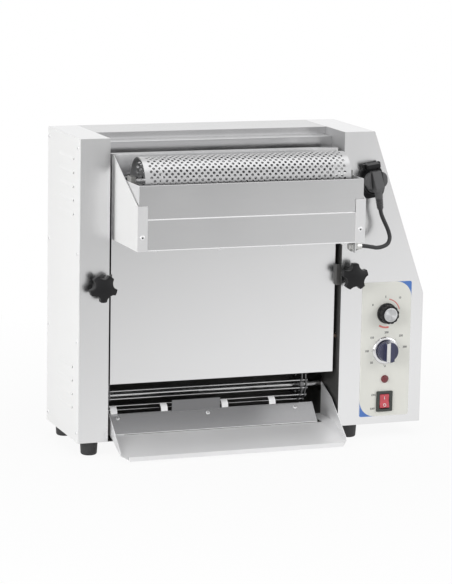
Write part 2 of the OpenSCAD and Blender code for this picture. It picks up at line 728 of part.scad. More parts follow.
// Controls
lamp_d = 10;
module control_plate() bench() color("#efefe6") difference() {
    translate([panel_x, 0, panel_low + panel_h / 2]) out_y(-panel_t, 0) rounded(panel_w, panel_h, panel_r);
    for (z = [speed_z, heat_z]) bar_y(-panel_t - over, over, panel_x, z, stem_d + 2);
    bar_y(-panel_t - over, over, panel_x, lamp_z, lamp_d + 2 * slip_gap);
    span([panel_x - case_w / 2 - slip_gap, -panel_t - over, rocker_z - case_h / 2 - slip_gap],
        [panel_x + case_w / 2 + slip_gap, over, rocker_z + case_h / 2 + slip_gap]);
}
dial_y = -panel_t - dial_gap;
module fluted() difference() {
    circle(speed_r - 1.8);
    for (i = [0 : 11]) rotate(i * 30) translate([speed_r - 0.2, 0]) circle(d = 5.4);
}
module speed_dial() bench() color(black) {
    cone_y(dial_y - 5, dial_y, panel_x, speed_z, 2 * speed_r - 1, 2 * speed_r);
    translate([panel_x, 0, speed_z]) out_y(dial_y - 17, dial_y - 5) fluted();
    bar_y(dial_y, t + stem_l, panel_x, speed_z, stem_d);
}
module speed_dial_cap() bench() color("#d4d6d8")
    cone_y(dial_y - 18.5, dial_y - 17, panel_x, speed_z, 2 * speed_r - 11.5, 2 * speed_r - 11);
module temperature_dial() bench() color("#43456a") {
    cone_y(dial_y - 8, dial_y, panel_x, heat_z, 2 * heat_r, 2 * heat_r - 9);
    cone_y(dial_y - 15, dial_y - 8, panel_x, heat_z, 2 * heat_r - 2, 2 * heat_r);
    translate([panel_x, 0, heat_z]) out_y(dial_y - 22, dial_y - 15) intersection() {
        circle(heat_r - 1);
        square([0.8 * heat_r, 2 * heat_r], center = true);
    }
    bar_y(dial_y, t + stem_l, panel_x, heat_z, stem_d);
}
module temperature_ring() bench() color("#dfe1e3") difference() {
    cone_y(-panel_t - 4, -panel_t, panel_x, heat_z, 2 * heat_r + 6, 2 * heat_r + 11);
    bar_y(-panel_t - 4 - over, over, panel_x, heat_z, 2 * heat_r - 4);
}
module heating_lamp() bench() color("#8a2030") {
    cone_y(-panel_t - 4, -panel_t, panel_x, lamp_z, lamp_d - 2, lamp_d + 3);
    bar_y(-panel_t, 20, panel_x, lamp_z, lamp_d);
}
module rocker_bezel() bench() color(black) difference() {
    translate([panel_x, 0, rocker_z]) {
        out_y(-panel_t - bezel_t, -panel_t) rounded(bezel_w, bezel_h, 1.5);
        out_y(-panel_t, case_d) square([case_w, case_h], center = true);
    }
    translate([panel_x, 0, rocker_z]) out_y(-panel_t - bezel_t - over, rocker_y + rocker_r + 1)
        square([rocker_w + 2 * slip_gap, 2 * (rocker_r + slip_gap)], center = true);
}
module rocker() bench() color("#cf3d46") translate([0, rocker_y, rocker_z]) {
    out_x(panel_x - rocker_w / 2, panel_x + rocker_w / 2) intersection() {
        circle(rocker_r);
        polygon([[-8, -rocker_r], [-4.5, 0], [-5, rocker_r], [5, rocker_r], [5, -rocker_r]]);
    }
    bar_x(panel_x - rocker_w / 2 - slip_gap / 2, panel_x + rocker_w / 2 + slip_gap / 2, 0, 0, 4);
}
module star(r) difference() {
    circle(r);
    for (i = [0 : 4]) rotate(90 + 36 + 72 * i) translate([1.12 * r, 0]) circle(0.43 * r);
}
module star_knob(x, turn) translate([x, 0, knob_z]) {
    rotate([0, turn, 0]) intersection() {
        out_y(-knob_stand - knob_t, -knob_stand) star(knob_r);
        translate([0, 2 * knob_r - knob_stand - knob_t, 0]) sphere(2 * knob_r, $fn = 96);
    }
    cone_y(-knob_stand, -slip_gap, 0, 0, 19, 14);
    bar_y(-slip_gap, bracket_y + bracket_t + 4, 0, 0, stud_d);
}
module left_star_knob() bench() color(black) star_knob(column_w - knob_in, 36);
module right_star_knob() bench() color(black) star_knob(xi + knob_in, 0);

// Butter trough
module trough_housing() bench() color(steel) difference() {
    housing_sheet();
    floor_places() screw_hole();
}
module housing_sheet() {
    span([tx0 + t, -trough_out, floor_z], [tx1 - t, cover_set, floor_z + t]);
    span([tx0 + t, -trough_out, floor_z + t], [tx1 - t, t - trough_out, floor_z + box_front_h]);
    span([tx0 + t, cover_set - t, floor_z + t], [tx1 - t, cover_set, floor_z + plate_back_h]);
    for (f = [-0.325, 0.325], x = [xm + f * (tx1 - tx0)])
        span([x - saddle_w / 2, -trough_out / 2 - heater_r - 6, floor_z + t], [x + saddle_w / 2, heater_r + 6 - trough_out / 2,
            heater_z - heater_d / 2 - run_gap]);
}
module end_plate() {
    out_x(tx0, tx0 + t) polygon([[cover_set, floor_z], [cover_set, floor_z + plate_back_h],
        [-trough_out, floor_z + plate_front_h], [-trough_out, floor_z]]);
    difference() {
        span([tx0, -trough_out - t, floor_z], [tx0 + plate_fold, -trough_out, floor_z + plate_front_h]);
        bar_y(-trough_out - t - over, over - trough_out, tx0 + plate_fold / 2, rivet_z, 3 + 2 * run_gap);
    }
}
module trough_left_plate() bench() color(bright) end_plate();
module trough_right_plate() bench() color(bright) translate([2 * xm, 0, 0]) mirror([1, 0, 0]) end_plate();
module trough_rivets() bench() color(bright) both_sides() {
    bar_y(-trough_out - t, -trough_out, tx0 + plate_fold / 2, rivet_z, 3);
    cone_y(-trough_out - t - rivet_h, -trough_out - t, tx0 + plate_fold / 2, rivet_z, 3.6, rivet_d);
}
heater_x0 = tx0 + 60;
heater_x1 = tx1 - 30;
module trough_heater() bench() color("#8d7f74") translate([0, -trough_out / 2, heater_z]) {
    for (i = [-1, 1]) bar_x(heater_x0, heater_x1, i * heater_r, 0, heater_d);
    translate([heater_x0, 0, 0]) rotate([0, 0, 90]) rotate_extrude(angle = 180)
        translate([heater_r, 0]) circle(d = heater_d);
}
module butter_tank() bench() color(bright) {
    span([tank_x0, tank_y0, tank_z0], [tank_x1, tank_y1, tank_z0 + t]);
    for (y = [tank_y0, tank_y1 - t]) span([tank_x0, y, tank_z0 + t], [tank_x1, y + t, tank_z1]);
    both_sides() span([tank_x0, tank_y0 + t, tank_z0 + t], [tank_x0 + t, tank_y1 - t, tank_z1]);
}
module drum_bearings() bench() color("#8f8f8c") both_sides() difference() {
    span([tank_x0 + t, -drum_out - bearing_d / 2, drum_z - bearing_under],
        [tank_x0 + t + bearing_w, bearing_d / 2 - drum_out, drum_z + bearing_over]);
    bar_x(tank_x0 + t + 2, tank_x0 + t + bearing_w + over, -drum_out, drum_z, axle_d + 2 * run_gap);
    span([tank_x0 + t + 2, -drum_out - axle_d / 2 - run_gap, drum_z],
        [tank_x0 + t + bearing_w + over, axle_d / 2 + run_gap - drum_out, drum_z + bearing_over + over]);
}
// The drum is a ring of flats; each flat is a strip of the rolled, punched sheet
flat_a = 360 / drum_rows;
function ring(r) = [for (i = [0 : drum_rows - 1]) r * [cos((i + 0.5) * flat_a), sin((i + 0.5) * flat_a)]];
hole_n = floor((drum_l - 2 * drum_margin) / drum_hole_pitch);
module spreader_drum() bench() color("#d6d7d8") translate([0, -drum_out, drum_z]) difference() {
    out_x(drum_x0, drum_x0 + drum_l) difference() {
        polygon(ring(drum_r));
        polygon(ring(drum_r - t));
    }
    for (i = [0 : drum_rows - 1]) rotate([i * flat_a, 0, 0]) for (j = [0 : hole_n - 1 - i % 2])
        translate([xm + (j - (hole_n - 1 - i % 2) / 2) * drum_hole_pitch, drum_r - 3 * t, 0])
            rotate([-90, 0, 0]) cylinder(h = 5 * t, d = drum_hole_d, $fn = 24);
}
spider_r = (drum_r - t) * cos(flat_a / 2) - run_gap;
module drum_axle() bench() color("#bfc0c2") translate([0, -drum_out, drum_z]) {
    bar_x(tank_x0 + t + 2 + slip_gap, tank_x1 - t - 2 - slip_gap, 0, 0, axle_d);
    both_sides() out_x(drum_x0 + spider_inset, drum_x0 + spider_inset + 3) difference() {
        circle(spider_r);
        difference() {
            circle(spider_r - 5);
            circle(axle_d / 2 + 5);
            for (i = [0 : 2]) rotate(60 * i) square([2 * spider_r, 7], center = true);
        }
    }
}
module gland_bracket() bench() color(bright) difference() {
    union() {
        span([bracket_x - 30, gland_y - 14, floor_z - 1.5], [bracket_x + 2, gland_y + 14, floor_z]);
        span([bracket_x, gland_y - 11, gland_z - 9], [bracket_x + 2, gland_y + 11, floor_z - 1.5]);
    }
    bar_x(bracket_x - over, bracket_x + 2 + over, gland_y, gland_z, 10 + 2 * run_gap);
}
module hex_x(x0, x1, d) translate([x0, gland_y, gland_z]) rotate([0, 90, 0]) cylinder(h = x1 - x0, d = d, $fn = 6);
module cable_gland() bench() color("#c8c3b6") difference() {
    union() {
        hex_x(bracket_x - 4, bracket_x, 15);
        bar_x(bracket_x - 7, bracket_x + 2, gland_y, gland_z, 10);
        hex_x(bracket_x + 2, bracket_x + 7, 15);
        translate([bracket_x + 7, gland_y, gland_z]) rotate([0, 90, 0]) cylinder(h = 8, d1 = 13, d2 = 9);
    }
    bar_x(bracket_x + 5, bracket_x + 16, gland_y, gland_z, cord_d + 2 * slip_gap);
}

// Lead: a tube swept along its route
cord_sides = 10;
function ahead(i) = unit(route[min(i + 1, len(route) - 1)] - route[max(i - 1, 0)]);
function across(i) = unit(cross(ahead(i), [0.2, 1, 0]));
function cord_ring(i) = let (u = across(i), v = cross(ahead(i), u))
    [for (k = [0 : cord_sides - 1]) let (a = k * 360 / cord_sides)
        route[i] + cord_d / 2 * (u * cos(a) + v * sin(a))];
cord_n = len(route);
module heater_cord() bench() color("#4a4a4c") polyhedron(
    points = [for (i = [0 : cord_n - 1]) each cord_ring(i)],
    faces = concat([[for (k = [0 : cord_sides - 1]) k]],
        [for (i = [0 : cord_n - 2], k = [0 : cord_sides - 1], h = [0, 1])
            let (a = i * cord_sides + k, b = i * cord_sides + (k + 1) % cord_sides)
            h == 0 ? [b, a, a + cord_sides] : [b, a + cord_sides, b + cord_sides]],
        [[for (k = [cord_sides - 1 : -1 : 0]) (cord_n - 1) * cord_sides + k]]), convexity = 6);
module at_plug() translate([sx, 0, sz]) rotate([0, -plug_tilt, 0]) children();
module strain_relief() bench() color("#2b2b2d") at_plug() translate([0, cord_y, -ridge_low - collar_l]) difference() {
    union() {
        translate([0, 0, -relief_l]) cylinder(h = relief_l, d1 = cord_d + 2.2, d2 = cord_d + 4.2);
        for (i = [0 : 3]) translate([0, 0, -3.5 - 4 * i]) cylinder(h = 2.2, d = cord_d + 5.6 - 0.4 * i);
    }
    translate([0, 0, -relief_l - over]) cylinder(h = relief_l - 3, d = cord_d + 2 * slip_gap);
}
module plug() bench() color(grey) at_plug() {
    bar_y(plug_y - 1, -socket_t, 0, 0, 2 * (recess_r - slip_gap));
    difference() {
        translate([0, 0, grip_up]) out_y(plug_y - plug_disc_t, plug_y - slip_gap) rounded(grip_w, grip_h, 12);
        for (i = [-1, 1]) translate([i * (ridge_w / 2 + 1.2), 0, 0]) out_x(-1.2, 1.2)
            polygon([[plug_y - plug_disc_t - over, -20], [plug_y - plug_disc_t - over, 30],
                [plug_y - plug_disc_t + 5, 30], [plug_y - plug_disc_t + 5, -20]]);
    }
    out_x(-ridge_w / 2, ridge_w / 2) polygon([[plug_y - 1, 21], [plug_y - plug_disc_t - 1, 21],
        [plug_y - plug_disc_t - 10, -5.5], [plug_y - plug_disc_t - 5, -ridge_low], [plug_y - 4, -ridge_low]]);
    translate([0, cord_y, -ridge_low - collar_l]) cylinder(h = collar_l, d = cord_d + 6);
}
module socket() bench() color(black) at_plug() difference() {
    union() {
        out_y(-socket_t, 0) rounded(socket_w, socket_h, 10);
        out_y(plug_y, -socket_t) circle(boss_r);
        out_y(0, socket_back) circle(boss_r - 1);
        for (i = [-1, 1]) translate([i * (lid_w / 2 + 2.3), 0, 0]) out_x(-2, 2)
            polygon([[0, 18], [lid_pin_y - 4, lid_pin_z - 6], [lid_pin_y - 4, lid_pin_z + 3],
                [lid_pin_y + 3, lid_pin_z + 4], [0, lid_pin_z - 4]]);
    }
    out_y(plug_y - over, 4) circle(recess_r);
    bar_x(-socket_w, socket_w, lid_pin_y, lid_pin_z, lid_pin_d + 2 * run_gap);
}
module socket_lid() bench() color(black) at_plug() {
    bar_x(-lid_w / 2 - 5, lid_w / 2 + 5, lid_pin_y, lid_pin_z, lid_pin_d);
    bar_x(-lid_w / 2, lid_w / 2, lid_pin_y, lid_pin_z, 7);
    out_x(-lid_w / 2, lid_w / 2) polygon([[lid_pin_y, lid_pin_z - 3], [lid_pin_y - lid_l, lid_pin_z - 4],
        [lid_pin_y - lid_l, lid_pin_z + 2.5], [lid_pin_y, lid_pin_z + 3.5]]);
}

// Outlet
tray_low = [-tray_out, tray_lip_z];
tray_slope = tray_fall / tray_out;
module landing_tray() bench() color(bright) {
    intersection() {
        out_x(tray_x0 + t, tray_x1 - t)
            polygon(strip([[-tray_out, tray_lip_z + tray_lip], tray_low, [0, tray_bend_z]]));
        translate([0, 0, tray_lip_z - over]) linear_extrude(tray_fall + tray_lip + 10)
            polygon([[tray_x0, 2], [tray_x0, tray_corner - tray_out], [tray_x0 + tray_corner, -tray_out - 2],
                [tray_x1 - tray_corner, -tray_out - 2], [tray_x1, tray_corner - tray_out], [tray_x1, 2]]);
    }
    both_sides() {
        out_x(tray_x0 + t, tray_x0 + t + tray_tongue) polygon(strip([[-10, tray_bend_z - 10 * tray_slope],
            [0, tray_bend_z], [tray_back, tray_bend_z]]));
        out_x(tray_x0, tray_x0 + t) polygon([[tray_corner - tray_out, tray_lip_z + tray_corner * tray_slope],
            [0, tray_bend_z], [tray_back, tray_bend_z], [tray_back, tray_bend_z + tray_wall + 30.5],
            [16, tray_bend_z + tray_wall + 12.6],
            [tray_corner - tray_out, tray_lip_z + tray_corner * tray_slope + 5]]);
    }
}
module tray_runners() bench() color(dark_steel) both_sides()
    span([tray_x0 + t + 2, 10, t], [tray_x0 + t + tray_tongue - 2, tray_back, tray_bend_z]);
module deflector() bench() color("#8b8c8e") difference() {
    deflector_sheet();
    deflector_places() screw_hole();
}
module deflector_sheet() {
    out_x(deflector_x0, deflector_x1) polygon(strip([[deflector_d, deflector_top], [0, deflector_z0]]));
    out_x(support_x0, deflector_x1 - 24) polygon([[deflector_d - t, t], [deflector_d, t],
        [deflector_d, deflector_top], [deflector_d - t, deflector_top - t]]);
    span([guard_x0, deflector_d - t, deflector_top - 2 * t], [guard_x1, deflector_d, deflector_top + 17]);
    for (x = finger_xs) out_x(x - finger_w / 2, x + finger_w / 2)
        polygon(strip([[deflector_d + 8, deflector_top + 11.8], [deflector_d + 1.5, deflector_top + 5.8],
            [deflector_d, deflector_top], [deflector_d - 3, deflector_top - 3.2]]));
}

base_plate();
left_frame();
left_side_panel();
right_frame();
right_side_panel();
rear_cover();
top_cover();
feed_guide();
front_cover();
clamp_brackets();
panel_screws();
feet();
foot_screws();
heating_platen();
platen_element();
platen_standoffs();
conveyor_rods();
left_chain();
right_chain();
drive_shaft();
drive_sprockets();
idler_shaft();
idler_wheels();
bearing_bushes();
gear_motor();
motor_sprocket();
drive_chain();
terminal_block();
thermostat();
speed_controller();
mains_gland();
control_plate();
speed_dial();
speed_dial_cap();
temperature_dial();
temperature_ring();
heating_lamp();
rocker_bezel();
rocker();
left_star_knob();
right_star_knob();
trough_housing();
trough_left_plate();
trough_right_plate();
trough_heater();
trough_rivets();
butter_tank();
drum_bearings();
spreader_drum();
drum_axle();
gland_bracket();
cable_gland();
heater_cord();
strain_relief();
plug();
socket();
socket_lid();
landing_tray();
tray_runners();
deflector();
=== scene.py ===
"""Looks of a vertical bun toaster with a heated butter trough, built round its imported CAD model."""

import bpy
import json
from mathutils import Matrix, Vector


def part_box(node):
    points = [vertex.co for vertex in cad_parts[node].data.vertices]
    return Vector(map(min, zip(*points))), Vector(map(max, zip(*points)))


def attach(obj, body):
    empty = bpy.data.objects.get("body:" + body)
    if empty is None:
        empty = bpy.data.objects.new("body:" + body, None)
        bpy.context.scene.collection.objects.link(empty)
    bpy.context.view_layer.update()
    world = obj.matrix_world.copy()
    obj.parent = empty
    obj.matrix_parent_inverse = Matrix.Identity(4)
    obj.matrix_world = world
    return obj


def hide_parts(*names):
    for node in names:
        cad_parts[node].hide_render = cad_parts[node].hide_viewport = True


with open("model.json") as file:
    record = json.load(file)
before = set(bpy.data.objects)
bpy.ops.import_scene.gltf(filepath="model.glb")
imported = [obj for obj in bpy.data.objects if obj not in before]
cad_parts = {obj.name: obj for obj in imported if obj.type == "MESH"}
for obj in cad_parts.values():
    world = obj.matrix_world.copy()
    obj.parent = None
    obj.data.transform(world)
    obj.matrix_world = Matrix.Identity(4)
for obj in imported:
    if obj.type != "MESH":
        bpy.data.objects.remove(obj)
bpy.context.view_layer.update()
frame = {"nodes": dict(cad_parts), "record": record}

import json
import math
from functools import partial

import bmesh
import bpy
from bpy.props import FloatProperty, FloatVectorProperty, IntProperty, PointerProperty
from mathutils import Matrix, Vector

bl_info = {
    "name": "Bun Toaster",
    "version": (1, 0, 0),
    "blender": (4, 5, 0),
    "location": "View3D > Sidebar > Toaster",
    "description": "Finishes, trim and stage of a vertical bun toaster",
    "category": "Object",
}

# Places are given on the bench, in millimetres: x from the left outer face, y back from the
# front plane of the columns, z up from the underside of the casing.
SHEET = 1000 * (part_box("base_plate")[1].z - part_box("base_plate")[0].z)
BENCH = 1000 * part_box("left_frame")[0] - Vector((SHEET, 0, 0))
NODE_BODY = {n: b for b, ns in frame["record"]["behaviour"]["bodies"].items() for n in ns}
NODE_SLOT = {s["node"]: s["material_slot"] for s in frame["record"]["subparts"]}

# CAD nodes with a finish other than their slot's. Some carry painted light and shade: painted shade on the
# base plate and clamp brackets inside the casing, darker steel on the rods, shafts and deflector for the
# shade and dark reflections they stand in, and a painted lit copy of the steel on the trough's end plates
NODE_FINISH = {
    **dict.fromkeys(("conveyor_rods", "idler_shaft", "drive_shaft"), "rod_steel"),
    **dict.fromkeys(("base_plate", "clamp_brackets"), "inner_dark"),
    **dict.fromkeys(("trough_left_plate", "trough_right_plate"), "pale_steel"),
    "deflector": "mirror_steel", "landing_tray": "tray_steel", "top_cover": "lid_steel",
    "spreader_drum": "drum_steel", "butter_tank": "tank_steel", "trough_housing": "trough_steel",
    "strain_relief": "relief_black", "rocker_bezel": "bezel_black",
}

# Route of the heater lead, from its gland to its plug, and the steps from point to point
LEAD_ROUTE = [
    (438, -60, 306), (448, -60, 306), (457, -59, 305), (467, -57, 303), (477, -54, 301),
    (489, -51, 302), (499, -47, 306), (504, -42, 314), (504, -37, 323), (501, -33, 333),
    (497, -30, 343), (494, -28, 352), (493, -27, 359),
]
LEAD_STEPS = 4

# Sheet parts, and the finer edge of the control plate in metres
SHEET_NODES = (
    "left_frame", "right_frame", "left_side_panel", "right_side_panel", "rear_cover", "top_cover",
    "feed_guide", "front_cover", "trough_housing", "trough_left_plate", "trough_right_plate",
    "butter_tank", "landing_tray", "deflector", "control_plate", "gland_bracket", "clamp_brackets",
)
PLATE_EDGE = 0.00025

# Moulded parts with their voxel in metres and their rounds of smoothing
MOULDED_NODES = (
    ("left_star_knob", 0.0007, 9), ("right_star_knob", 0.0007, 9), ("speed_dial", 0.0005, 3),
    ("temperature_dial", 0.0005, 4), ("socket", 0.0008, 4), ("socket_lid", 0.0006, 4),
    ("rocker_bezel", 0.0005, 3), ("rocker", 0.0004, 3), ("feet", 0.0007, 4),
)

# Middle and half width of the deflector's guard, and where the guard and the fingers begin
GUARD_X, GUARD_HALF = 203.9, 42
GUARD_Z, FINGER_Z = 30, 38
# Depth from which the frames' walls are inside the casing
INNER_Y = 2
# Share of an axis in the normal of a face that looks along it
FACING = 0.9

# Upper edge of the trough housing's front and the radius of its rounded edges
HEM_Z, HEM_R = 368, 0.9
# Height and radius of the rolled edge of the deflector
EDGE_Z, EDGE_R = 10.2, 0.7
# Sides of a rolled edge, the gap at its ends, and how far behind the sheet's front its middle lies
ROLL_SIDES, ROLL_GAP = 14, 0.2
HEM_BACK, EDGE_BACK = 0.1, 0.3

# Parts into which each side of a tile of the drum is cut
TILE_CUTS = 4
# Distances in metres under which points are one
MERGE, FINE_MERGE, TILE_MERGE = 2e-6, 1e-6, 2e-5
# Share of a screw's largest radius that belongs to the rim of its head
RIM_SHARE = 0.97

# How far print stands before the plate and reaches into it
PRINT_OUT, PRINT_IN = 0.04, 0.1
# Outer and inner radius of the plate's blue corners
CORNER_BIG, CORNER_SMALL = 27, 3
# Ticks of the temperature dial: turns in degrees, gap to the ring and outline
TICK_TURNS = (264, 217, 180, 139, 90, 45, 7)
TICK_GAP = 0.9
TICK_OUTLINE = ((0, -0.25), (1.6, -0.18), (1.6, 0.18), (0, 0.25))
# Red bands round the speed dial: start and end in degrees, inner and outer radius
SPEED_BANDS = ((14, 80, 22.3, 24.0), (238, 281, 22.0, 25.0))
# Figures beside each control, with their places from its middle, and their height in metres
FIGURES = {
    "temperature_ring": (("0", 0, -26.5), ("50", -24, -19.5), ("100", -33, 0), ("150", -24.5, 22),
                         ("200", 1, 29.5), ("250", 26.5, 23), ("300", 34, 4)),
    "speed_dial_cap": (("0", -24.5, 14.5), ("5", -2, 27), ("10", 23, 24.5)),
    "rocker_bezel": (("ON", -19, 11), ("OFF", -20.3, -12)),
}
FIGURE_SIZE, FIGURE_OUT = 0.0047, 0.01
# Sides of the white bar on the temperature dial, from the dial's middle, and its inset
BAR_SIDES, BAR_INSET = (-0.6, -6.8), 0.25
# Signs on the switch: outline of the stroke, section of the ring, its middle and the rocker's lean
STROKE = ((-0.5, 3), (0.5, 3), (0.5, 8), (-0.5, 8))
RING_SECTION = ((2.6, 0.25), (1.7, 0.25), (1.7, -0.3), (2.6, -0.3))
RING_STEPS, RING_Y, RING_Z = 24, -2.5, -6.2
LEAN_Y, LEAN_Z = 0.29, 0.96

# Stretch of a grain, and the turn that stands a flat or turned shape up to face the front
ALONG_X, ALONG_Z, EVEN = (0.012, 1, 1), (1, 1, 0.012), (1, 1, 1)
FACE_FRONT = Matrix.Rotation(math.pi / 2, 4, "X")


def at(x, y, z):
    """A point of the bench in the frame, in metres."""
    return (Vector((x, y, z)) + BENCH) / 1000


def on_bench(place):
    """A point of the frame on the bench."""
    return 1000 * place - BENCH


def bench_box(node):
    """Lowest and highest corner of a CAD node on the bench."""
    low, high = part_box(node)
    return on_bench(low), on_bench(high)


def middle(node):
    """Middle of a CAD node on the bench."""
    low, high = bench_box(node)
    return (low + high) / 2


def number(name, description, default, **kind):
    """A number that a user can change."""
    return FloatProperty(name=name, description=description, default=default, **kind)


def colour_of(name, description, default):
    """A colour that a user can change."""
    return FloatVectorProperty(name=name, description=description, default=default,
                               subtype="COLOR", min=0, max=1)


class ToasterStage(bpy.types.PropertyGroup):
    """Camera, floor and light"""

    camera_place: FloatVectorProperty(name="Camera place", description="Camera on the bench, in millimetres",
                                      default=(-1147.0, -3765.0, 965.0))
    yaw: number("Yaw", "Camera turned to the right", math.radians(20.26), subtype="ANGLE")
    pitch: number("Pitch", "Camera tilted down", math.radians(10.37), subtype="ANGLE")
    roll: number("Roll", "Camera rolled", math.radians(1.02), subtype="ANGLE")
    lens: number("Lens", "Focal length for a 36 mm long side", 158.94, unit="CAMERA")
    key_power: number("Key light", "Power of the light on the left", 35.0, unit="POWER")
    top_power: number("Top light", "Power of the overhead light", 9.0, unit="POWER")
    fill_power: number("Fill light", "Power of the light on the right", 18.0, unit="POWER")
    sky: number("Room light", "Even light from all round", 0.45, min=0.0, max=2.0)


class ToasterColours(bpy.types.PropertyGroup):
    """Colours of the finishes"""

    steel: colour_of("Steel", "Brushed stainless sheet", (0.80, 0.80, 0.805))
    bright: colour_of("Bright steel", "Smoother stainless sheet", (0.80, 0.80, 0.805))
    pale: colour_of("Side panel", "Pale side panel", (0.93, 0.93, 0.925))
    cream: colour_of("Control plate", "Cream of the control plate", (0.88, 0.88, 0.82))
    blue: colour_of("Corner blue", "Blue corners of the control plate", (0.09, 0.22, 0.60))
    black: colour_of("Black plastic", "Knobs, socket and its lid", (0.014, 0.014, 0.015))
    grey: colour_of("Plug grey", "Moulded plug", (0.13, 0.13, 0.133))
    navy: colour_of("Dial navy", "Temperature dial", (0.035, 0.038, 0.095))
    red: colour_of("Switch red", "Rocker", (0.62, 0.075, 0.10))


class ToasterSizes(bpy.types.PropertyGroup):
    """Sizes that the trim follows"""

    hole_d: number("Drum hole", "Diameter of a hole in the drum", 0.0045, unit="LENGTH")
    hole_pitch: number("Hole pitch", "Distance between holes of one row", 0.0096, unit="LENGTH")
    hole_rows: IntProperty(name="Rows", description="Rows of holes round the drum", default=48, min=12)
    holes: IntProperty(name="Holes", description="Holes in a full row", default=34, min=4)
    lead_d: number("Lead", "Diameter of the lead", 0.0065, unit="LENGTH")
    fold_r: number("Fold radius", "Rounding of sheet edges", 0.0005, unit="LENGTH")


def settings():
    """The stage, the colours and the sizes."""
    scene = bpy.context.scene
    return scene.toaster_stage, scene.toaster_colours, scene.toaster_sizes


# Node trees
def feed(tree, node, values):
    """Sets inputs of a node, or links them to the outputs given for them."""
    for label, value in values.items():
        if isinstance(value, bpy.types.NodeSocket):
            tree.links.new(value, node.inputs[label])
        else:
            node.inputs[label].default_value = value
    return node


def add(tree, kind, values, **options):
    """A new node with its options and inputs set."""
    node = tree.nodes.new(kind)
    for key, value in options.items():
        setattr(node, key, value)
    return feed(tree, node, values)


def sums(tree, operation, a, b=0.0):
    """The output of one step of arithmetic."""
    return add(tree, "ShaderNodeMath", {0: a, 1: b}, operation=operation).outputs[0]


def parts_of(tree, vector):
    """The X, Y and Z outputs of a vector."""
    return add(tree, "ShaderNodeSeparateXYZ", {"Vector": vector}).outputs


def ramp(tree, value, start, end, low, high):
    """Maps a value from start..end to low..high."""
    return add(tree, "ShaderNodeMapRange", {
        "Value": value, "From Min": start, "From Max": end, "To Min": low, "To Max": high}).outputs["Result"]


# Materials
def shader(name):
    """A new material with its node tree, its Principled shader and its Object coordinates."""
    mat = bpy.data.materials.new(name + "_finish")
    mat.use_nodes = True
    tree = mat.node_tree
    bsdf = tree.nodes["Principled BSDF"]
    coords = tree.nodes.new("ShaderNodeTexCoord").outputs["Object"]
    return mat, tree, bsdf, coords


def noise(tree, coords, scale, detail, stretch=EVEN):
    """A noise on the Object coordinates."""
    place = add(tree, "ShaderNodeMapping", {"Vector": coords, "Scale": stretch}).outputs["Vector"]
    return add(tree, "ShaderNodeTexNoise", {
        "Vector": place, "Scale": scale, "Detail": detail, "Roughness": 0.55}).outputs["Fac"]


def spread(tree, value, centre, amount):
    """Maps the middle range of a noise to amount on both sides of centre."""
    return ramp(tree, value, 0.3, 0.7, centre - amount, centre + amount)


def tint(tree, value, colour, amount):
    """A colour that varies by amount with a noise."""
    return add(tree, "ShaderNodeMix", {
        "Factor": value, "A": (*[c * (1 - amount) for c in colour], 1),
        "B": (*[min(1, c * (1 + amount)) for c in colour], 1)}, data_type="RGBA").outputs["Result"]


def bump(tree, value, strength, depth):
    """The normal of a surface that a noise roughens."""
    return add(tree, "ShaderNodeBump", {
        "Strength": strength, "Distance": depth, "Height": value}).outputs["Normal"]


def brushed(name, colour, rough, grain=EVEN, streak=0.012, metallic=1.0, depth=4e-7):
    """Brushed sheet: fine streaks along one way, with soft cloudy change in gloss."""
    mat, tree, bsdf, coords = shader(name)
    fine = noise(tree, coords, 900, 2.0, grain)
    cloud = noise(tree, coords, 9, 3.0)
    feed(tree, bsdf, {
        "Metallic": metallic, "Base Color": tint(tree, fine, colour, streak),
        "Roughness": sums(tree, "ADD", spread(tree, fine, 0, 0.01), spread(tree, cloud, rough, 0.02)),
        "Normal": bump(tree, fine, 0.25, depth)})
    return mat


def spun(name, colour, rough):
    """Turned metal: its gloss runs in a fan round the middle of its face."""
    tree = brushed(name, colour, rough, EVEN, 0.04).node_tree
    way = add(tree, "ShaderNodeTangent", {}, direction_type="RADIAL", axis="Y")
    feed(tree, tree.nodes["Principled BSDF"], {"Anisotropic": 0.95, "Tangent": way.outputs["Tangent"]})


def painted_inside_shade(name, sheet_colour, dark, low, high):
    """Bare sheet inside the casing with painted shade: darker below a height, standing in for the shade
    inside the casing.
    """
    tree = brushed(name, sheet_colour, 0.45, EVEN, 0.2, 0.6).node_tree
    coords = tree.nodes.new("ShaderNodeTexCoord").outputs["Object"]
    height = parts_of(tree, coords)["Z"]
    cloud = noise(tree, coords, 30, 4.0)
    fade = add(tree, "ShaderNodeMix", {
        "Factor": ramp(tree, height, low, high, 0.0, 1.0),
        "A": tint(tree, cloud, dark, 0.3), "B": tint(tree, cloud, sheet_colour, 0.06)}, data_type="RGBA")
    feed(tree, tree.nodes["Principled BSDF"], {"Base Color": fade.outputs["Result"]})


def moulded_finish(name, colour, rough, grain=1500, depth=0.00004, vary=0.08, coat=0.0, shine=0.5):
    """Moulded plastic or rubber with a fine spark-eroded grain."""
    tree, bsdf, coords = shader(name)[1:]
    fine = noise(tree, coords, grain, 2.0)
    cloud = noise(tree, coords, 40, 3.0)
    feed(tree, bsdf, {
        "Base Color": tint(tree, cloud, colour, vary), "Roughness": spread(tree, fine, rough, 0.05),
        "Coat Weight": coat, "Specular IOR Level": shine, "Normal": bump(tree, fine, 0.35, depth)})


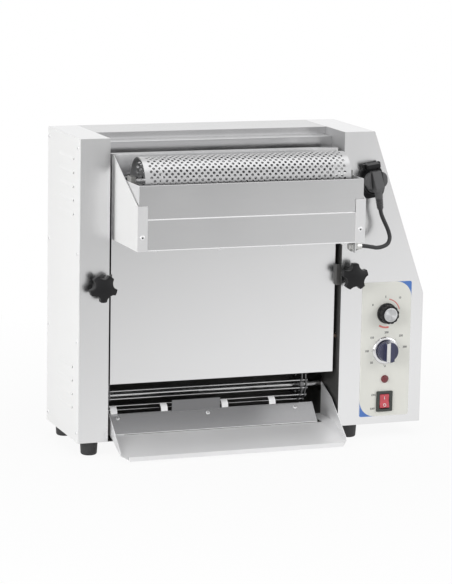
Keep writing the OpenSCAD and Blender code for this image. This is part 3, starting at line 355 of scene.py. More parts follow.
def make_finishes():
    """Every finish of the toaster, for the record's material slots and for single pieces and faces."""
    colours = settings()[1]
    brushed("stainless", colours.steel, 0.24, ALONG_Z)
    brushed("bright_stainless", colours.bright, 0.20, ALONG_X)
    brushed("pale_panel", colours.pale, 0.42, ALONG_Z, 0.02, 0.0)
    brushed("screw_steel", (0.84, 0.84, 0.845), 0.34, EVEN, 0.03, 0.5)
    brushed("chain_steel", (0.22, 0.22, 0.225), 0.36, EVEN, 0.2)
    brushed("hot_plate", (0.055, 0.052, 0.050), 0.6, EVEN, 0.25, 0.6)
    brushed("element_sheath", (0.16, 0.12, 0.10), 0.45, EVEN, 0.2)
    brushed("bush_bronze", (0.10, 0.095, 0.09), 0.45, EVEN, 0.1)
    # Painted shade: steel made dark for the deflector, standing in for its dark reflection of the trough's
    # underside
    brushed("mirror_steel", (0.28, 0.28, 0.285), 0.22, ALONG_X, 0.015, 0.85)
    brushed("tray_steel", (0.90, 0.90, 0.905), 0.36, ALONG_X, 0.015, 0.38)
    # Darker steel of the top cover; on the feed guide's front faces it is painted shade
    brushed("lid_steel", (0.58, 0.58, 0.585), 0.22, ALONG_X, 0.04)
    brushed("drum_steel", (0.52, 0.52, 0.525), 0.32, ALONG_X, 0.04)
    # Painted light: a brighter, less metallic copy of the steel for the tank's end walls, where the key light
    # falls
    brushed("end_steel", (0.88, 0.88, 0.885), 0.30, ALONG_Z, 0.006, 0.28, 2e-7)
    # Painted light: a pale, not metallic copy of the steel lights up the trough's end plates; their front
    # flanges keep a darker steel
    brushed("flange_steel", (0.80, 0.80, 0.805), 0.31, ALONG_Z, 0.003, 0.5)
    brushed("pale_steel", (0.885, 0.885, 0.88), 0.42, ALONG_Z, 0.02, 0.0)
    brushed("trough_steel", (0.70, 0.70, 0.705), 0.24, ALONG_X)
    brushed("tank_steel", (0.72, 0.72, 0.725), 0.19, ALONG_X, 0.03)
    # Painted shade: darker steel for the rods and shafts in the shade inside the casing
    brushed("rod_steel", (0.62, 0.62, 0.625), 0.2, ALONG_X, 0.06)
    # Painted shade: darker steel for the deflector's guard, which stands in shade
    brushed("guard_steel", (0.20, 0.20, 0.205), 0.31, ALONG_X, 0.06, 0.8)
    # Bright steel of the rivets; on the upper ends of the deflector's fingers it is painted light
    brushed("rivet_bright", (0.88, 0.88, 0.885), 0.34, EVEN, 0.03, 0.45)
    brushed("ring_chrome", (0.72, 0.72, 0.73), 0.14, EVEN, 0.02)
    brushed("gland_nickel", (0.60, 0.60, 0.585), 0.31, EVEN, 0.05)
    spun("dial_silver", (0.66, 0.665, 0.67), 0.5)
    # Painted shade inside the casing, darker below a height
    painted_inside_shade("inner_dark", (0.50, 0.50, 0.505), (0.14, 0.138, 0.135), 0.33, 0.37)
    moulded_finish("bezel_black", (0.034, 0.040, 0.035), 0.26, coat=0.2)
    # Painted shade for the bottoms of the screws' cross recesses and the rivets' mandrels
    moulded_finish("recess_dark", (0.03, 0.03, 0.03), 0.8, shine=0.1)
    moulded_finish("relief_black", (0.045, 0.045, 0.047), 0.34, shine=0.6)
    moulded_finish("motor_grey", (0.10, 0.105, 0.11), 0.45)
    moulded_finish("ceramic", (0.68, 0.64, 0.55), 0.6)
    moulded_finish("circuit_green", (0.04, 0.13, 0.06), 0.5)
    moulded_finish("black_plastic", colours.black, 0.42, shine=0.22)
    moulded_finish("dial_navy", colours.navy, 0.28, coat=0.3)
    moulded_finish("cream_plate", colours.cream, 0.38, 700, 0.00002, 0.02)
    moulded_finish("lamp_red", (0.17, 0.008, 0.016), 0.2, coat=0.5)
    moulded_finish("rocker_red", colours.red, 0.28, coat=0.3)
    moulded_finish("bearing_grey", (0.27, 0.27, 0.26), 0.5)
    moulded_finish("cord_grey", (0.036, 0.036, 0.038), 0.5, shine=0.35)
    moulded_finish("plug_rubber", colours.grey, 0.5, shine=0.3)
    moulded_finish("foot_rubber", (0.035, 0.035, 0.036), 0.62, 600, 0.0001)
    moulded_finish("corner_blue", colours.blue, 0.36, 700, 0.00002, 0.04)
    moulded_finish("print_black", (0.05, 0.05, 0.055), 0.5, 900, 0.00002, 0.1)
    moulded_finish("print_red", (0.76, 0.24, 0.21), 0.45, 900, 0.00002, 0.06)
    moulded_finish("mark_white", (0.82, 0.82, 0.80), 0.4, 900, 0.00002, 0.03)


def finish_of(name):
    """The material of a finish."""
    return bpy.data.materials[name + "_finish"]


# Meshes
def new_object(name, data):
    """A new object of the scene."""
    obj = bpy.data.objects.new(name, data)
    bpy.context.scene.collection.objects.link(obj)
    return obj


def drop(obj):
    """Removes an object with its mesh."""
    mesh = obj.data
    bpy.data.objects.remove(obj)
    bpy.data.meshes.remove(mesh)


def soften(mesh, angle):
    """Smooth shading, with edges over an angle in degrees kept sharp."""
    mesh.polygons.foreach_set("use_smooth", [True] * len(mesh.polygons))
    mesh.set_sharp_from_angle(angle=math.radians(angle))


def from_bmesh(name, bm, angle=35):
    """An object from a finished bmesh."""
    mesh = bpy.data.meshes.new(name)
    bm.to_mesh(mesh)
    bm.free()
    soften(mesh, angle)
    return new_object(name, mesh)


def plain(obj):
    """Turns an object with modifiers, or a curve, into a plain mesh."""
    bpy.context.view_layer.update()
    dg = bpy.context.evaluated_depsgraph_get()
    mesh = bpy.data.meshes.new_from_object(obj.evaluated_get(dg))
    mesh.name = obj.name
    old = obj.data
    obj.modifiers.clear()
    if isinstance(old, bpy.types.Mesh):
        obj.data = mesh
        bpy.data.meshes.remove(old)
        return obj
    name = obj.name
    bpy.data.objects.remove(obj)
    return new_object(name, mesh)


def dress(obj, slot_name, body, *nodes, finish=None):
    """Gives a piece its finish, the body it rides on and the CAD nodes it stands for."""
    obj.data.materials.clear()
    obj.data.materials.append(finish_of(finish or slot_name))
    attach(obj, body)
    if nodes:
        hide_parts(*nodes)
    return obj


def dress_node(obj, node):
    """Gives a piece all that its one CAD node says."""
    return dress(obj, NODE_SLOT[node], NODE_BODY[node], node, finish=NODE_FINISH.get(node))


def node_copy(node, name):
    """A merged copy of a CAD node's mesh, with its flat faces whole again."""
    src = frame["nodes"][node].data
    mesh = bpy.data.meshes.new(name)
    mesh.from_pydata([v.co for v in src.vertices], [], [tuple(p.vertices) for p in src.polygons])
    bm = bmesh.new()
    bm.from_mesh(mesh)
    bmesh.ops.remove_doubles(bm, verts=bm.verts, dist=MERGE)
    bmesh.ops.dissolve_limit(bm, angle_limit=math.radians(0.5), verts=bm.verts, edges=bm.edges)
    bm.to_mesh(mesh)
    bm.free()
    return new_object(name, mesh)


def folded(node, width):
    """A sheet part of the CAD model with the small radius that folding and deburring leave."""
    obj = node_copy(node, node + "_folded")
    obj.data.shade_smooth()
    edge = obj.modifiers.new("edge", "BEVEL")
    edge.width = width
    edge.segments = 2
    edge.limit_method = "ANGLE"
    edge.angle_limit = math.radians(40)
    obj.modifiers.new("flat", "WEIGHTED_NORMAL").weight = 100
    return dress_node(plain(obj), node)


def moulded(node, voxel, rounds):
    """A moulded part of the CAD model with soft edges."""
    obj = node_copy(node, node + "_moulded")
    skin = obj.modifiers.new("skin", "REMESH")
    skin.mode = "VOXEL"
    skin.voxel_size = voxel
    soft = obj.modifiers.new("soft", "SMOOTH")
    soft.factor = 0.5
    soft.iterations = rounds
    obj = plain(obj)
    obj.data.shade_smooth()
    return dress_node(obj, node)


def shade(obj, finish, picks):
    """Gives a second finish to the faces that picks names by their middle on the bench and their normal."""
    obj.data.materials.append(finish_of(finish))
    for face in obj.data.polygons:
        if picks(on_bench(face.center), face.normal):
            face.material_index = len(obj.data.materials) - 1


def joined(name, objects):
    """One object from several meshes."""
    bm = bmesh.new()
    for obj in objects:
        bm.from_mesh(obj.data)
        drop(obj)
    mesh = bpy.data.meshes.new(name)
    bm.to_mesh(mesh)
    bm.free()
    return new_object(name, mesh)


def prism(bm, near, far):
    """A closed solid between two outlines of as many points."""
    near, far = ([bm.verts.new(p) for p in outline] for outline in (near, far))
    bm.faces.new(near)
    bm.faces.new(far[::-1])
    for k in range(len(near)):
        bm.faces.new((near[k], near[k - 1], far[k - 1], far[k]))
    bmesh.ops.recalc_face_normals(bm, faces=bm.faces)


def flat_piece(bm, outline, y0, y1):
    """A flat shape of (x, z) points on the bench, from y0 back to y1."""
    prism(bm, *([at(x, y, z) for x, z in outline] for y in (y0, y1)))


def arc(x, z, r, start, end, steps):
    """Points of an arc on the front, in degrees from +X towards +Z."""
    turns = [math.radians(start + (end - start) * k / steps) for k in range(steps + 1)]
    return [(x + r * math.cos(a), z + r * math.sin(a)) for a in turns]


def lathe(profile, steps):
    """Turns a profile of (radius, height) round Z."""
    bm = bmesh.new()
    rings = []
    for r, z in profile:
        count = steps if r > 1e-9 else 1
        rings.append([bm.verts.new((r * math.cos(a), r * math.sin(a), z))
                      for a in (2 * math.pi * k / count for k in range(count))])
    for lower, upper in zip(rings, rings[1:]):
        for k in range(steps):
            j = (k + 1) % steps
            quad = [ring[i % len(ring)] for ring, i in ((lower, k), (lower, j), (upper, j), (upper, k))]
            quad = [v for i, v in enumerate(quad) if v not in quad[:i]]
            if len(quad) > 2:
                bm.faces.new(quad)
    bmesh.ops.remove_doubles(bm, verts=bm.verts, dist=FINE_MERGE)
    bmesh.ops.recalc_face_normals(bm, faces=bm.faces)
    return bm


def turned(name, profile, place, steps):
    """A turned piece on the front: its profile of (radius, height) in millimetres stands forward of place."""
    bm = lathe([(r / 1000, h / 1000) for r, h in profile], steps)
    bm.transform(Matrix.Translation(at(*place)) @ FACE_FRONT)
    return from_bmesh(name, bm, 30)


def pan_head_object(name, r, h):
    """A pan head screw with a cross recess."""
    obj = from_bmesh(name, lathe([
        (0, 0), (r, 0), (r, 0.35 * h), (0.9 * r, 0.75 * h), (0.62 * r, h), (0, h)], 16))
    cross = bmesh.new()
    for wide, long in ((0.16 * r, 0.62 * r), (0.62 * r, 0.16 * r)):
        bmesh.ops.create_cube(cross, size=1, matrix=Matrix.Translation((0, 0, h)) @ Matrix.Diagonal(
            (2 * wide, 2 * long, 1.1 * h, 1)))
    cutter = from_bmesh(name + "_cut", cross)
    recess = obj.modifiers.new("recess", "BOOLEAN")
    recess.object = cutter
    recess.solver = "EXACT"
    recess.use_self = True
    obj = plain(obj)
    drop(cutter)
    return obj


def cross_object(name, r, h):
    """The bottom of a cross recess, which gets painted shade."""
    wide, long = 0.15 * r, 0.6 * r
    arm, outline = [(wide, wide), (wide, long), (-wide, long)], []
    for _ in range(4):
        outline += arm
        arm = [(-y, x) for x, y in arm]
    bm = bmesh.new()
    prism(bm, *([(x, y, z) for x, y in outline] for z in (0.3 * h, 0.6 * h)))
    return from_bmesh(name, bm)


def rivet_object(name, r, h):
    """The domed head of a blind rivet, open in the middle."""
    bore = 0.36 * r
    return from_bmesh(name, lathe([
        (bore, 0), (r, 0), (r, 0.2 * h), (0.93 * r, 0.55 * h), (0.75 * r, 0.88 * h), (0.5 * r, h),
        (bore, 0.95 * h), (bore, 0)], 20))


def mandrel_object(name, r, h):
    """The broken mandrel inside a blind rivet, which gets painted shade."""
    return from_bmesh(name, lathe([(0, 0), (0.36 * r, 0), (0.36 * r, 0.45 * h), (0, 0.5 * h)], 12))


# Geometry Nodes
def new_tree(name, sockets):
    """A geometry tree with named inputs; returns it with its input sockets by name and its output."""
    tree = bpy.data.node_groups.new(name, "GeometryNodeTree")
    tree.interface.new_socket(name="Geometry", in_out="OUTPUT", socket_type="NodeSocketGeometry")
    for label, kind in sockets.items():
        tree.interface.new_socket(name=label, in_out="INPUT", socket_type="NodeSocket" + kind)
    source = tree.nodes.new("NodeGroupInput")
    sink = tree.nodes.new("NodeGroupOutput")
    return tree, source.outputs, sink.inputs["Geometry"]


def grown(name, tree, values):
    """The plain mesh that a geometry tree makes from these input values."""
    obj = new_object(name, bpy.data.meshes.new(name))
    mod = obj.modifiers.new("grow", "NODES")
    mod.node_group = tree
    idents = {i.name: i.identifier for i in tree.interface.items_tree if i.in_out == "INPUT"}
    for label, value in values.items():
        mod[idents[label]] = value
    return plain(obj)


def scatter_tree(name, axis, pivot):
    """Copies of one object on points, with one axis turned to the points' aim."""
    tree, given, out = new_tree(name, {"Points": "Object", "Shape": "Object", "Material": "Material"})
    node = partial(add, tree)
    points, shape = (node("GeometryNodeObjectInfo", {"Object": given[label]}).outputs["Geometry"]
                     for label in ("Points", "Shape"))
    aim = node("GeometryNodeInputNamedAttribute", {"Name": "aim"}, data_type="FLOAT_VECTOR")
    turn = node("FunctionNodeAlignRotationToVector", {"Vector": aim.outputs["Attribute"]},
                axis=axis, pivot_axis=pivot)
    copies = node("GeometryNodeInstanceOnPoints", {
        "Points": points, "Instance": shape, "Rotation": turn.outputs["Rotation"]})
    real = node("GeometryNodeRealizeInstances", {"Geometry": copies.outputs["Instances"]})
    done = node("GeometryNodeSetMaterial", {
        "Geometry": real.outputs["Geometry"], "Material": given["Material"]})
    tree.links.new(done.outputs["Geometry"], out)
    return tree


def scattered(name, tree, places, shape, finish):
    """Copies of a shape on places of the bench that each have an aim; the shape itself is removed."""
    mesh = bpy.data.meshes.new("places")
    mesh.from_pydata([at(*place) for place, _ in places], [], [])
    aims = mesh.attributes.new("aim", "FLOAT_VECTOR", "POINT")
    aims.data.foreach_set("vector", [c for _, aim in places for c in aim])
    points = new_object("places", mesh)
    made = grown(name, tree, {"Points": points, "Shape": shape, "Material": finish_of(finish)})
    drop(points)
    drop(shape)
    return made


class TOASTER_OT_stage(bpy.types.Operator):
    """Camera, floor, room and lights"""

    bl_idname = "toaster.stage"
    bl_label = "Stage"

    def execute(self, context):
        stage = settings()[0]
        context.scene.view_settings.view_transform = "Standard"
        self.camera(context.scene, stage)
        self.floor()
        self.room(context.scene, stage.sky)
        aim = Vector((-0.02, 0, 0.2))
        for name, place, size, power in (
            ("key_light", Vector((-2.5, -1.2, 1.1)), 1.8, stage.key_power),
            ("top_light", Vector((0.2, -0.3, 2.4)), 2.2, stage.top_power),
            ("fill_light", Vector((2.2, -1.6, 1.3)), 1.6, stage.fill_power),
        ):
            lamp = bpy.data.lights.new(name, "AREA")
            lamp.shape = "DISK"
            lamp.size = size
            lamp.energy = power
            obj = new_object(name, lamp)
            obj.location = place
            obj.rotation_mode = "QUATERNION"
            obj.rotation_quaternion = (aim - place).to_track_quat("-Z", "Y")
        return {"FINISHED"}

    @staticmethod
    def camera(scene, stage):
        """The camera, turned by its yaw, pitch and roll."""
        cy, sy = math.cos(stage.yaw), math.sin(stage.yaw)
        cp, sp = math.cos(stage.pitch), math.sin(stage.pitch)
        cr, sr = math.cos(stage.roll), math.sin(stage.roll)
        ahead = Vector((sy * cp, cy * cp, -sp))
        right = Vector((cy, -sy, 0))
        up = right.cross(ahead)
        axes = Matrix((cr * right + sr * up, -sr * right + cr * up, -ahead)).transposed()
        data = bpy.data.cameras.new("camera")
        data.lens = stage.lens
        data.sensor_width = 36
        data.clip_end = 100
        scene.camera = new_object("camera", data)
        scene.camera.matrix_world = Matrix.Translation(at(*stage.camera_place)) @ axes.to_4x4()

    @staticmethod
    def floor():
        """A pale floor, white far away, that keeps the shadow near the toaster."""
        bm = bmesh.new()
        bmesh.ops.create_grid(bm, x_segments=1, y_segments=1, size=9)
        obj = from_bmesh("floor", bm)
        mat, tree, bsdf, coords = shader("floor_white")
        node, calc = partial(add, tree), partial(sums, tree)
        feed(tree, bsdf, {"Base Color": (0.8, 0.8, 0.8, 1), "Roughness": 0.8})
        path = node("ShaderNodeLightPath", {}).outputs
        reach = node("ShaderNodeVectorMath", {0: coords}, operation="LENGTH").outputs["Value"]
        shown = calc("MULTIPLY", calc("MAXIMUM", path["Is Camera Ray"], path["Is Transmission Ray"]),
                     ramp(tree, reach, 0.35, 1.1, 0.92, 1.0))
        mirrored = calc("MULTIPLY", path["Is Glossy Ray"], 0.97)
        # Painted reflection: in mirrors only, the floor falls off to grey on both sides of a slanting line,
        # in two slopes
        place = parts_of(tree, coords)
        across = calc("ADD", place["Y"], calc("MULTIPLY", place["X"], 1.2))
        across = calc("MULTIPLY", calc("ABSOLUTE", across), -1.0)
        knee, grey = -1.5, 0.66
        outer = ramp(tree, across, -2.6, knee, 0.40, grey)
        inner = ramp(tree, across, knee, -0.1, grey, 1.0)
        slopes = calc("ADD", calc("SUBTRACT", outer, grey), inner)
        tone = node("ShaderNodeMix", {"Factor": path["Is Glossy Ray"], "A": 1.0, "B": slopes})
        glow = node("ShaderNodeEmission", {"Strength": tone.outputs["Result"]})
        mix = node("ShaderNodeMixShader", {
            "Fac": calc("MAXIMUM", shown, mirrored), 1: bsdf.outputs["BSDF"], 2: glow.outputs["Emission"]})
        feed(tree, tree.nodes["Material Output"], {"Surface": mix.outputs["Shader"]})
        obj.data.materials.append(mat)

    @staticmethod
    def room(scene, sky):
        """White for the camera, mirrors and glass, and dimmer for the light that falls on things."""
        world = bpy.data.worlds.new("room")
        world.use_nodes = True
        tree = world.node_tree
        path = tree.nodes.new("ShaderNodeLightPath").outputs
        seen = sums(tree, "MAXIMUM", path["Is Glossy Ray"], path["Is Transmission Ray"])
        seen = sums(tree, "MAXIMUM", path["Is Camera Ray"], seen)
        strength = add(tree, "ShaderNodeMix", {"Factor": seen, "A": sky, "B": 1.0})
        feed(tree, tree.nodes["Background"], {
            "Color": (1, 1, 1, 1), "Strength": strength.outputs["Result"]})
        scene.world = world


class TOASTER_OT_finishes(bpy.types.Operator):
    """Gives every CAD part its finish"""

    bl_idname = "toaster.finishes"
    bl_label = "Finishes"

    def execute(self, context):
        make_finishes()
        for node, obj in frame["nodes"].items():
            obj.data.materials.clear()
            obj.data.materials.append(finish_of(NODE_FINISH.get(node, NODE_SLOT[node])))
        return {"FINISHED"}


class TOASTER_OT_lead(bpy.types.Operator):
    """The trough's heater lead, from its gland to its plug, with its moulded plug"""

    bl_idname = "toaster.lead"
    bl_label = "Heater lead"

    def execute(self, context):
        sizes = settings()[2]
        points = self.smooth([at(*p) for p in LEAD_ROUTE])
        curve = bpy.data.curves.new("heater_lead", "CURVE")
        curve.dimensions = "3D"
        curve.bevel_depth = sizes.lead_d / 2
        curve.bevel_resolution = 5
        curve.use_fill_caps = True
        spline = curve.splines.new("POLY")
        spline.points.add(len(points) - 1)
        for place, p in zip(spline.points, points):
            place.co = (*p, 1)
        spline.use_smooth = True
        lead = new_object("heater_lead", curve)
        lead.data.materials.append(finish_of("cord_grey"))
        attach(lead, "casing")
        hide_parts("heater_cord")
        plug = moulded("plug", 0.0006, 3)
        relief = moulded("strain_relief", 0.0004, 1)
        return {"FINISHED"}

    @staticmethod
    def smooth(points):
        """Points on one smooth curve through the given ones."""
        ends = [2 * points[0] - points[1]] + points + [2 * points[-1] - points[-2]]
        made = []
        for a, b, c, d in zip(ends, ends[1:], ends[2:], ends[3:]):
            for u in (k / LEAD_STEPS for k in range(LEAD_STEPS)):
                made.append(0.5 * (2 * b + (c - a) * u + (2 * a - 5 * b + 4 * c - d) * u ** 2
                                   + (3 * b - a - 3 * c + d) * u ** 3))
        return made + [points[-1]]


def looks_forward(p, n):
    """Faces that look forward."""
    return n.y < -FACING


def on_guard(p, n):
    """Flat faces of the deflector's guard."""
    return abs(p.x - GUARD_X) < GUARD_HALF and p.z > GUARD_Z and abs(n.y) > FACING


def on_finger(p, n):
    """Upper ends of the deflector's fingers."""
    return abs(p.x - GUARD_X) > GUARD_HALF and p.z > FINGER_Z


# Faces with a second finish, all painted light and shade: painted shade on the faces inside the casing, on
# the deflector's guard and on the feed guide's front faces; painted light on the upper ends of the
# deflector's fingers and on the tank's end walls; the end plates' front flanges keep a darker steel beside
# their painted lit side faces
SECOND_FINISH = {
    "rear_cover": (("inner_dark", looks_forward),),
    "left_frame": (("inner_dark", lambda p, n: n.x > FACING and p.y > INNER_Y),),
    "right_frame": (("inner_dark", lambda p, n: n.x < -FACING and p.y > INNER_Y),),
    "deflector": (("guard_steel", on_guard), ("rivet_bright", on_finger)),
    "trough_left_plate": (("flange_steel", looks_forward),),
    "trough_right_plate": (("flange_steel", looks_forward),),
    "butter_tank": (("end_steel", lambda p, n: abs(n.x) > FACING),),
    "feed_guide": (("lid_steel", looks_forward),),
}


class TOASTER_OT_sheet(bpy.types.Operator):
    """Folded sheet parts with their small edge radius"""

    bl_idname = "toaster.sheet"
    bl_label = "Sheet edges"

    def execute(self, context):
        fold_r = settings()[2].fold_r
        for node in SHEET_NODES:
            obj = folded(node, PLATE_EDGE if node == "control_plate" else fold_r)
            for finish, picks in SECOND_FINISH.get(node, ()):
                shade(obj, finish, picks)
        low = bench_box("trough_housing")[0]
        x0 = bench_box("trough_left_plate")[1].x
        x1 = bench_box("trough_right_plate")[0].x
        for name, z in (("trough_hem", HEM_Z), ("trough_fold", low.z + HEM_R)):
            self.rolled(name, x0, x1, low.y + HEM_BACK, z, HEM_R)
        low, high = bench_box("deflector")
        self.rolled("deflector_edge", low.x, high.x, low.y + EDGE_BACK, EDGE_Z, EDGE_R)
        return {"FINISHED"}

    @staticmethod
    def rolled(name, x0, x1, y, z, r):
        """A rolled edge along the front of a sheet, from x0 to x1."""
        outline = arc(y, z, r, 0, 360, ROLL_SIDES)[:-1]
        bm = bmesh.new()
        prism(bm, *([at(x, *p) for p in outline] for x in (x0 + ROLL_GAP, x1 - ROLL_GAP)))
        dress(from_bmesh(name, bm), "stainless", "casing")


class TOASTER_OT_drum(bpy.types.Operator):
    """The rolled, punched drum that carries butter up to the buns"""

    bl_idname = "toaster.drum"
    bl_label = "Spreader drum"

    def execute(self, context):
        sizes = settings()[2]
        low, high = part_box("spreader_drum")
        centre = (low + high) / 2
        rows, pitch = sizes.hole_rows, sizes.hole_pitch
        radius = (high.z - low.z) / 2 + 0.0001
        wall = SHEET / 1000
        step = 2 * math.pi * radius / rows
        tile = self.tile(pitch, step, sizes.hole_d / 2, wall)
        drum = grown("drum_skin", self.rolled_tree(), {
            "Tile": tile, "Holes": sizes.holes, "Rows": rows, "Pitch": pitch, "Step": step, "Radius": radius,
            "Centre": centre, "Material": finish_of("drum_steel")})
        drop(tile)
        bm = bmesh.new()
        bm.from_mesh(drum.data)
        self.bands(bm, centre, (high.x - low.x) / 2, radius, wall, rows, step, pitch, sizes.holes)
        bmesh.ops.remove_doubles(bm, verts=bm.verts, dist=TILE_MERGE)
        bmesh.ops.recalc_face_normals(bm, faces=bm.faces)
        bm.to_mesh(drum.data)
        bm.free()
        soften(drum.data, 40)
        dress(drum, "bright_stainless", "drum", "spreader_drum", finish="drum_steel")
        return {"FINISHED"}

    @staticmethod
    def rolled_tree():
        """Tiles in staggered rows, rolled into a drum."""
        tree, given, out = new_tree("rolled_perforation", {
            "Tile": "Object", "Holes": "Int", "Rows": "Int", "Pitch": "Float", "Step": "Float",
            "Radius": "Float", "Centre": "Vector", "Material": "Material"})
        node, calc = partial(add, tree), partial(sums, tree)
        gaps = calc("SUBTRACT", given["Rows"], 1.0)
        grid = node("GeometryNodeMeshGrid", {
            "Size X": calc("MULTIPLY", calc("SUBTRACT", given["Holes"], 1.0), given["Pitch"]),
            "Size Y": calc("MULTIPLY", gaps, given["Step"]),
            "Vertices X": given["Holes"], "Vertices Y": given["Rows"]})
        # Even rows have one hole less and are shifted by half a pitch
        half_pitch = calc("MULTIPLY", given["Pitch"], 0.5)
        place = parts_of(tree, node("GeometryNodeInputPosition", {}).outputs[0])
        row = calc("ADD", calc("DIVIDE", place["Y"], given["Step"]), calc("MULTIPLY", gaps, 0.5))
        even = calc("LESS_THAN", calc("MODULO", calc("ROUND", row), 2.0), 0.5)
        last = calc("MULTIPLY", calc("SUBTRACT", given["Holes"], 1.5), half_pitch)
        over = calc("MULTIPLY", even, calc("GREATER_THAN", place["X"], last))
        kept = node("GeometryNodeDeleteGeometry", {"Geometry": grid.outputs["Mesh"], "Selection": over})
        shift = node("ShaderNodeCombineXYZ", {"X": calc("MULTIPLY", even, half_pitch)})
        moved = node("GeometryNodeSetPosition", {
            "Geometry": kept.outputs["Geometry"], "Offset": shift.outputs[0]})
        unit = node("GeometryNodeObjectInfo", {"Object": given["Tile"]})
        copies = node("GeometryNodeInstanceOnPoints", {
            "Points": moved.outputs["Geometry"], "Instance": unit.outputs["Geometry"]})
        real = node("GeometryNodeRealizeInstances", {"Geometry": copies.outputs["Instances"]})
        # The flat sheet's Y becomes the turn round the drum, its Z the distance from the axis
        flat = parts_of(tree, node("GeometryNodeInputPosition", {}).outputs[0])
        turn = calc("ADD", calc("DIVIDE", flat["Y"], given["Radius"]), calc("DIVIDE", math.pi, given["Rows"]))
        arm = calc("ADD", given["Radius"], flat["Z"])
        rolled = node("ShaderNodeCombineXYZ", {
            "X": flat["X"], "Y": calc("MULTIPLY", arm, calc("COSINE", turn)),
            "Z": calc("MULTIPLY", arm, calc("SINE", turn))})
        centred = node("ShaderNodeVectorMath", {0: rolled.outputs[0], 1: given["Centre"]}, operation="ADD")
        skin = node("GeometryNodeSetPosition", {
            "Geometry": real.outputs["Geometry"], "Position": centred.outputs[0]})
        whole = node("GeometryNodeMergeByDistance", {
            "Geometry": skin.outputs["Geometry"], "Distance": TILE_MERGE})
        done = node("GeometryNodeSetMaterial", {
            "Geometry": whole.outputs["Geometry"], "Material": given["Material"]})
        tree.links.new(done.outputs["Geometry"], out)
        return tree

    @staticmethod
    def tile(pitch, step, hole_r, wall):
        """One flat tile of the sheet with its round hole."""
        cuts = [k / TILE_CUTS - 0.5 for k in range(TILE_CUTS)]
        rim = [(pitch * cut, -step / 2) for cut in cuts] + [(pitch / 2, step * cut) for cut in cuts]
        rim += [(-x, -y) for x, y in rim]
        hole = [(hole_r * x / math.hypot(x, y), hole_r * y / math.hypot(x, y)) for x, y in rim]
        bm = bmesh.new()
        (rim0, hole0), (rim1, hole1) = (
            [[bm.verts.new((x, y, z)) for x, y in ring] for ring in (rim, hole)] for z in (0, -wall))
        for k in range(len(rim)):
            bm.faces.new((rim0[k - 1], rim0[k], hole0[k], hole0[k - 1]))
            bm.faces.new((rim1[k], rim1[k - 1], hole1[k - 1], hole1[k]))
            bm.faces.new((hole0[k - 1], hole0[k], hole1[k], hole1[k - 1]))
        return from_bmesh("punched_tile", bm)

    @staticmethod
    def bands(bm, centre, half, radius, wall, rows, step, pitch, holes):
        """The unpunched bands at both ends, with the drum's open edges."""
        full = holes * pitch / 2
        for side in (-1, 1):
            for row in range(rows):
                xs = [half, full] + ([full - pitch / TILE_CUTS, full - pitch / 2] if row % 2 == 0 else [])
                grid = {}
                for j in range(TILE_CUTS + 1):
                    a = (row - (rows - 1) / 2 + j / TILE_CUTS - 0.5) * step / radius + math.pi / rows
                    for i, x in enumerate(xs):
                        for layer, r in enumerate((radius, radius - wall)):
                            grid[i, j, layer] = bm.verts.new(centre + Vector((
                                side * x, r * math.cos(a), r * math.sin(a))))
                for j in range(TILE_CUTS):
                    for i in range(len(xs) - 1):
                        for layer in (0, 1):
                            corners = ((i, j), (i + 1, j), (i + 1, j + 1), (i, j + 1))
                            bm.faces.new([grid[a, b, layer] for a, b in corners])
                    bm.faces.new([grid[0, b, layer] for b, layer in ((j, 0), (j + 1, 0), (j + 1, 1), (j, 1))])


class TOASTER_OT_mouldings(bpy.types.Operator):
    """Moulded knobs, dials, socket, switch and feet with soft edges"""

    bl_idname = "toaster.mouldings"
    bl_label = "Mouldings"

    def execute(self, context):
        for node, voxel, rounds in MOULDED_NODES:
            moulded(node, voxel, rounds)
        return {"FINISHED"}


